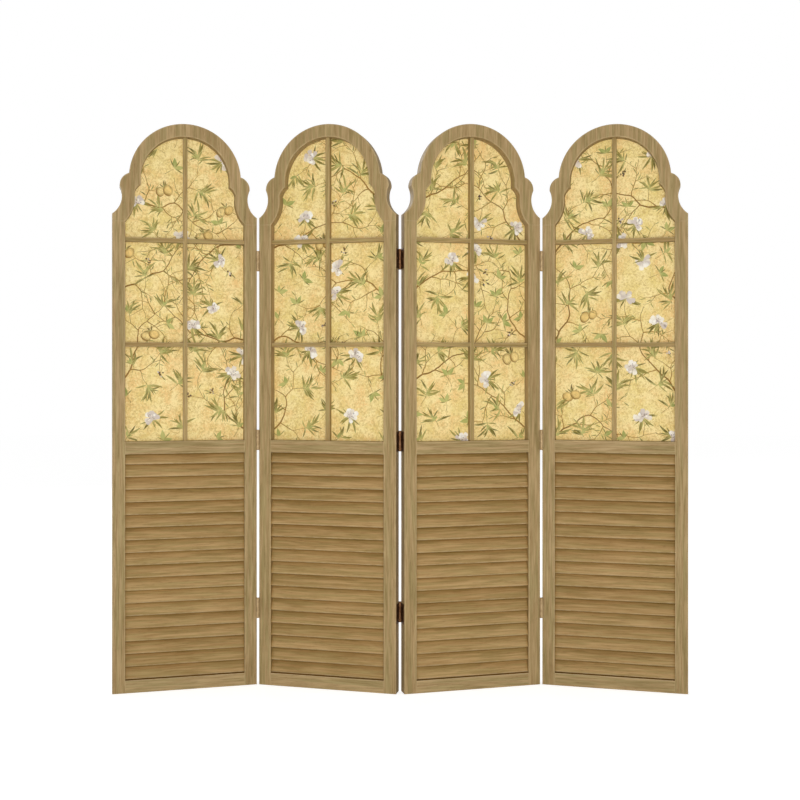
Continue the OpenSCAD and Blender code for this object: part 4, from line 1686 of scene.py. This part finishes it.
@dataclass
class PrintedPanel(LeafPart):
    """The board behind the lights, faced with a floral print on both sides.

    The ground is the board's own finish. The twigs and the motifs are films of ink a
    few hundredths of a millimetre to a quarter of a millimetre thick that lie on it.
    Each film is a hair thicker than the last, up to some number of steps, so that
    those that overlap don't share a face.
    """

    sunk: float = 0.3
    fit: float = 1.0
    bevel: float = 0.4
    margin: float = 0.5
    twig_film: float = 0.04
    twig_step: float = 0.0006
    twig_steps: int = 40
    taper: float = 0.7
    motif_step: float = 0.0004
    motif_steps: int = 300
    first_seed: int = 40
    print_seeds: tuple[int, int] = (7, 3)

    FILMS = {Motif.NARROW: 0.08, Motif.BROAD: 0.075, Motif.FRUIT: 0.1, Motif.PETAL: 0.14, Motif.BUD: 0.17}

    @property
    def faces(self) -> Point:
        """How far back the board's front and back lie."""
        return self.leaf.bars_back + self.sunk, self.leaf.board_back - self.sunk

    def board(self) -> None:
        """Builds the board and puts it on the leaf."""
        leaf = self.leaf
        grown = leaf.rebate - self.fit
        ring = HeadCurve.inner(leaf, grown).whole(leaf.opening - grown)
        corners = [(leaf.middle + x, z, self.bevel, self.bevel) for x, z in ring]
        boards = [Board(corners, *self.faces, margin=self.margin)]
        seed = self.standing.seed(self.first_seed)
        self.join("print_panel", "board", boards, seed, "printed_board", self.finishes.ground)

    def ribbon(self, path: list[Point], width: float, face: float, top: float) -> list[Spot]:
        """Draws a twig's corners, four at each point of its path.

        Args:
            path: the twig's middle line, from the leaf's middle and the floor.
            width: its width where it starts.
            face: how far back the board's face lies.
            top: how far back the ink's own face lies.

        Returns:
            The corners in the leaf's frame.
        """
        corners = []
        end = len(path) - 1
        for at, (x, z) in enumerate(path):
            (x0, z0), (x1, z1) = path[max(at - 1, 0)], path[min(at + 1, end)]
            run = math.hypot(x1 - x0, z1 - z0) or 1.0
            half = width / 2 * (1 - self.taper * at / end)
            dx, dz = (z1 - z0) / run * half, -(x1 - x0) / run * half
            for way, y in ((1, top), (-1, top), (-1, face), (1, face)):
                corners.append((self.leaf.middle + x + way * dx, y, z + way * dz))
        return corners

    def twigs(self, spray: Spray) -> None:
        """Lays the twigs on the board as tapering ribbons.

        Args:
            spray: the panel's print.
        """
        points, faces, tints = [], [], []
        front, back = self.faces
        for order, (path, width, tint) in enumerate(spray.twigs):
            film = self.twig_film + self.twig_step * (order % self.twig_steps)
            for face, top in ((front, front - film), (back, back + film)):
                base = len(points)
                points += self.ribbon(path, width, face, top)
                last = len(points) - 4
                for row in range(base, last, 4):
                    for near, far in ((0, 1), (1, 2), (2, 3), (3, 0)):
                        faces.append((row + near, row + far, row + 4 + far, row + 4 + near))
                faces += [(base + 3, base + 2, base + 1, base), (last, last + 1, last + 2, last + 3)]
                tints += tint[:3] * (len(points) - base)
        mesh = bpy.data.meshes.new(f"print_twigs_{self.standing.number}")
        mesh.from_pydata(points, [], faces)
        store(mesh, "grain", [value * MM for spot in points for value in spot])
        store(mesh, "tint", tints)
        soften(mesh, self.standing.place)
        mesh.materials.append(self.finishes.inks[Marking.PLAIN])
        self.show(mesh, "printed_board")

    @staticmethod
    def tree(canvas: Canvas, given: dict[str, Socket], out: bpy.types.Node) -> bpy.types.NodeTree:
        """Stamps each kind of motif on its own points.

        Args:
            canvas: the tree's canvas.
            given: its inputs.
            out: its output node.

        Returns:
            The finished tree.
        """
        joined = canvas.add("GeometryNodeJoinGeometry")
        kind = canvas.kept("kind", "INT")
        turn, size = (canvas.kept(name, "FLOAT_VECTOR") for name in ("turn", "size"))
        for motif in Motif:
            pair = {2: kind, 3: motif.value}
            chosen = canvas.add("FunctionNodeCompare", pair, data_type="INT", operation="EQUAL").outputs[0]
            shape = canvas.add("GeometryNodeObjectInfo", {"Object": given[motif.name]}).outputs["Geometry"]
            feeds = {"Points": given["Points"], "Selection": chosen, "Instance": shape}
            feeds |= {"Rotation": turn, "Scale": size}
            placed = canvas.add("GeometryNodeInstanceOnPoints", feeds).outputs[0]
            real = canvas.add("GeometryNodeRealizeInstances", {"Geometry": placed}).outputs[0]
            canvas.feed(joined.inputs[0], canvas.dressed(real, given[motif.name + " ink"]))
        here = canvas.stretched(canvas.add("GeometryNodeInputPosition").outputs[0], MM, MM, MM)
        canvas.feed(out.inputs[0], canvas.keep(joined.outputs[0], "grain", here, "FLOAT_VECTOR"))
        return canvas.tree

    def motifs(self, spray: Spray, stamps: dict[Motif, bpy.types.Object]) -> None:
        """Prints the motifs on both sides of the board.

        Args:
            spray: the panel's print.
            stamps: each motif's shape.
        """
        front, back = self.faces
        spots, kinds, turns, sizes, tints = [], [], [], [], []
        for order, mark in enumerate(spray.marks):
            film = self.FILMS[mark.motif] + self.motif_step * (order % self.motif_steps)
            for y, turn, about in ((front, mark.turn, 0.0), (back, -mark.turn, math.pi)):
                spots.append((self.leaf.middle + mark.spot[0], y, mark.spot[1]))
                kinds.append(mark.motif.value)
                turns += [0.0, turn, about]
                sizes += [mark.length * mark.width, film, mark.length]
                tints += mark.tint[:3]
        base = bpy.data.meshes.new("motif_spots")
        base.from_pydata(spots, [], [])
        store(base, "kind", kinds, "INT")
        for name, values in (("turn", turns), ("size", sizes), ("tint", tints)):
            store(base, name, values)
        sockets, values = {"Points": "NodeSocketGeometry"}, {}
        for motif in Motif:
            ink = motif.name + " ink"
            sockets |= {motif.name: "NodeSocketObject", ink: "NodeSocketMaterial"}
            values |= {motif.name: stamps[motif], ink: self.finishes.inks[motif.marking]}
        recipe = Recipe("printed_motifs", sockets)
        mesh = recipe.run(self.tree(*recipe.start()), f"print_motifs_{self.standing.number}", values, base)
        soften(mesh, self.standing.place)
        self.show(mesh, "printed_board")

    def build(self) -> None:
        """Builds the board and its print."""
        self.board()
        step, first = self.print_seeds
        spray = Spray(self.standing.number * step + first, self.leaf)
        spray.fill()
        stamps = {motif: motif.stamp() for motif in Motif}
        self.twigs(spray)
        self.motifs(spray, stamps)
        for stamp in stamps.values():
            bpy.data.objects.remove(stamp)


# ---------------------------------------------------------------- the room


@dataclass(frozen=True)
class Lamp:
    """A square soft lamp, aimed at a spot."""

    name: str
    spot: Spot
    aim: Spot
    size: float
    power: float

    def hang(self) -> None:
        """Puts the lamp in the room."""
        data = bpy.data.lights.new(self.name, "AREA")
        data.size, data.energy = self.size, self.power
        lamp = new_object(self.name, data)
        lamp.location = self.spot
        lamp.rotation_mode = "QUATERNION"
        lamp.rotation_quaternion = (Vector(self.aim) - Vector(self.spot)).to_track_quat("-Z", "Y")


@dataclass(frozen=True)
class Studio:
    """A pale floor, soft light, and the camera at the photograph's spot."""

    eye: Spot = (-0.057, -3.5593, 1.014)
    lens: float = 50.03
    sensor: float = 36.0
    shift: Point = (0.02251, -0.036506)
    fill: float = 0.42
    floor_reach: float = 14.0
    floor_drop: float = 0.0006
    floor_glow: float = 0.68
    lamps: tuple[Lamp, ...] = (
        Lamp("key", (0.05, -3.9, 1.6), (0.0, 0.0, 0.95), 1.0, 47.0),
        Lamp("low", (0.05, -3.9, 0.3), (0.0, 0.0, 0.8), 1.0, 47.5),
        Lamp("rear", (-2.8, 4.6, 3.2), (0.0, 0.0, 0.95), 2.6, 110.0),
    )

    def camera(self) -> None:
        """Sets the camera, level and looking straight back."""
        data = bpy.data.cameras.new("camera")
        data.lens, data.sensor_width = self.lens, self.sensor
        data.shift_x, data.shift_y = self.shift
        camera = new_object("camera", data)
        camera.location = self.eye
        camera.rotation_euler = (math.radians(90), 0, 0)
        bpy.context.scene.camera = camera

    def floor(self) -> None:
        """Lays a floor that looks white but keeps the screen's shadow."""
        mesh = bpy.data.meshes.new("floor")
        far = self.floor_reach
        corners = ((-far, -far), (far, -far), (far, far), (-far, far))
        mesh.from_pydata([(x, y, -self.floor_drop) for x, y in corners], [], [(0, 1, 2, 3)])
        floor = new_object("floor", mesh)
        material, canvas, surface = new_material("pale_floor")
        canvas.wire(surface, {
            "Base Color": (0.75, 0.75, 0.75, 1),
            "Roughness": 0.9,
            "Specular IOR Level": 0.0,
            "Emission Color": (1, 1, 1, 1),
            "Emission Strength": canvas.sum("MULTIPLY", canvas.seen(), self.floor_glow),
        })
        mesh.materials.append(material)

    def light(self) -> None:
        """Lights the room softly from all round, and most from round the camera."""
        world = bpy.data.worlds.new("room")
        bpy.context.scene.world = world
        world.use_nodes = True
        canvas = Canvas(world.node_tree)
        ground = world.node_tree.nodes["Background"]
        strength = canvas.line(canvas.seen(), 1.0 - self.fill, self.fill)
        canvas.wire(ground, {"Color": (1, 1, 1, 1), "Strength": strength})
        for lamp in self.lamps:
            lamp.hang()


def dress_hardware(nodes: dict[str, bpy.types.Object], finishes: Finishes) -> None:
    """Gives the parts that keep their CAD shape their metal, and the dowels their wood.

    Args:
        nodes: the CAD parts, by name.
        finishes: the screen's finishes.
    """
    for name, node in nodes.items():
        if name.startswith(("hinge_screws", "head_dowels")):
            material = finishes.screw if name.startswith("hinge") else finishes.dowel
        elif name.startswith("hinge"):
            # The middle joint's hinges take the darker bronze, painted shade for the gap that they sit in.
            material = finishes.bronze if name.endswith("23") else finishes.brass
        else:
            continue
        node.data.materials.clear()
        node.data.materials.append(material)


def main() -> None:
    """Builds the screen, leaf by leaf, and the room round it."""
    logging.basicConfig(level=logging.INFO, format="%(name)s: %(message)s")
    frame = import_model()
    studio = Studio()
    studio.camera()
    studio.floor()
    studio.light()
    bpy.context.scene.view_settings.view_transform = "Standard"
    finishes = Finishes.mixed()
    for standing in standings(LeafSizes(), frame["joints"]):
        for part in (LeafFrame, GlazingBars, RetainingBeads, PrintedPanel, LouvreBank):
            part(standing, finishes).build()
    dress_hardware(frame["nodes"], finishes)


if __name__ == "__main__":
    main()
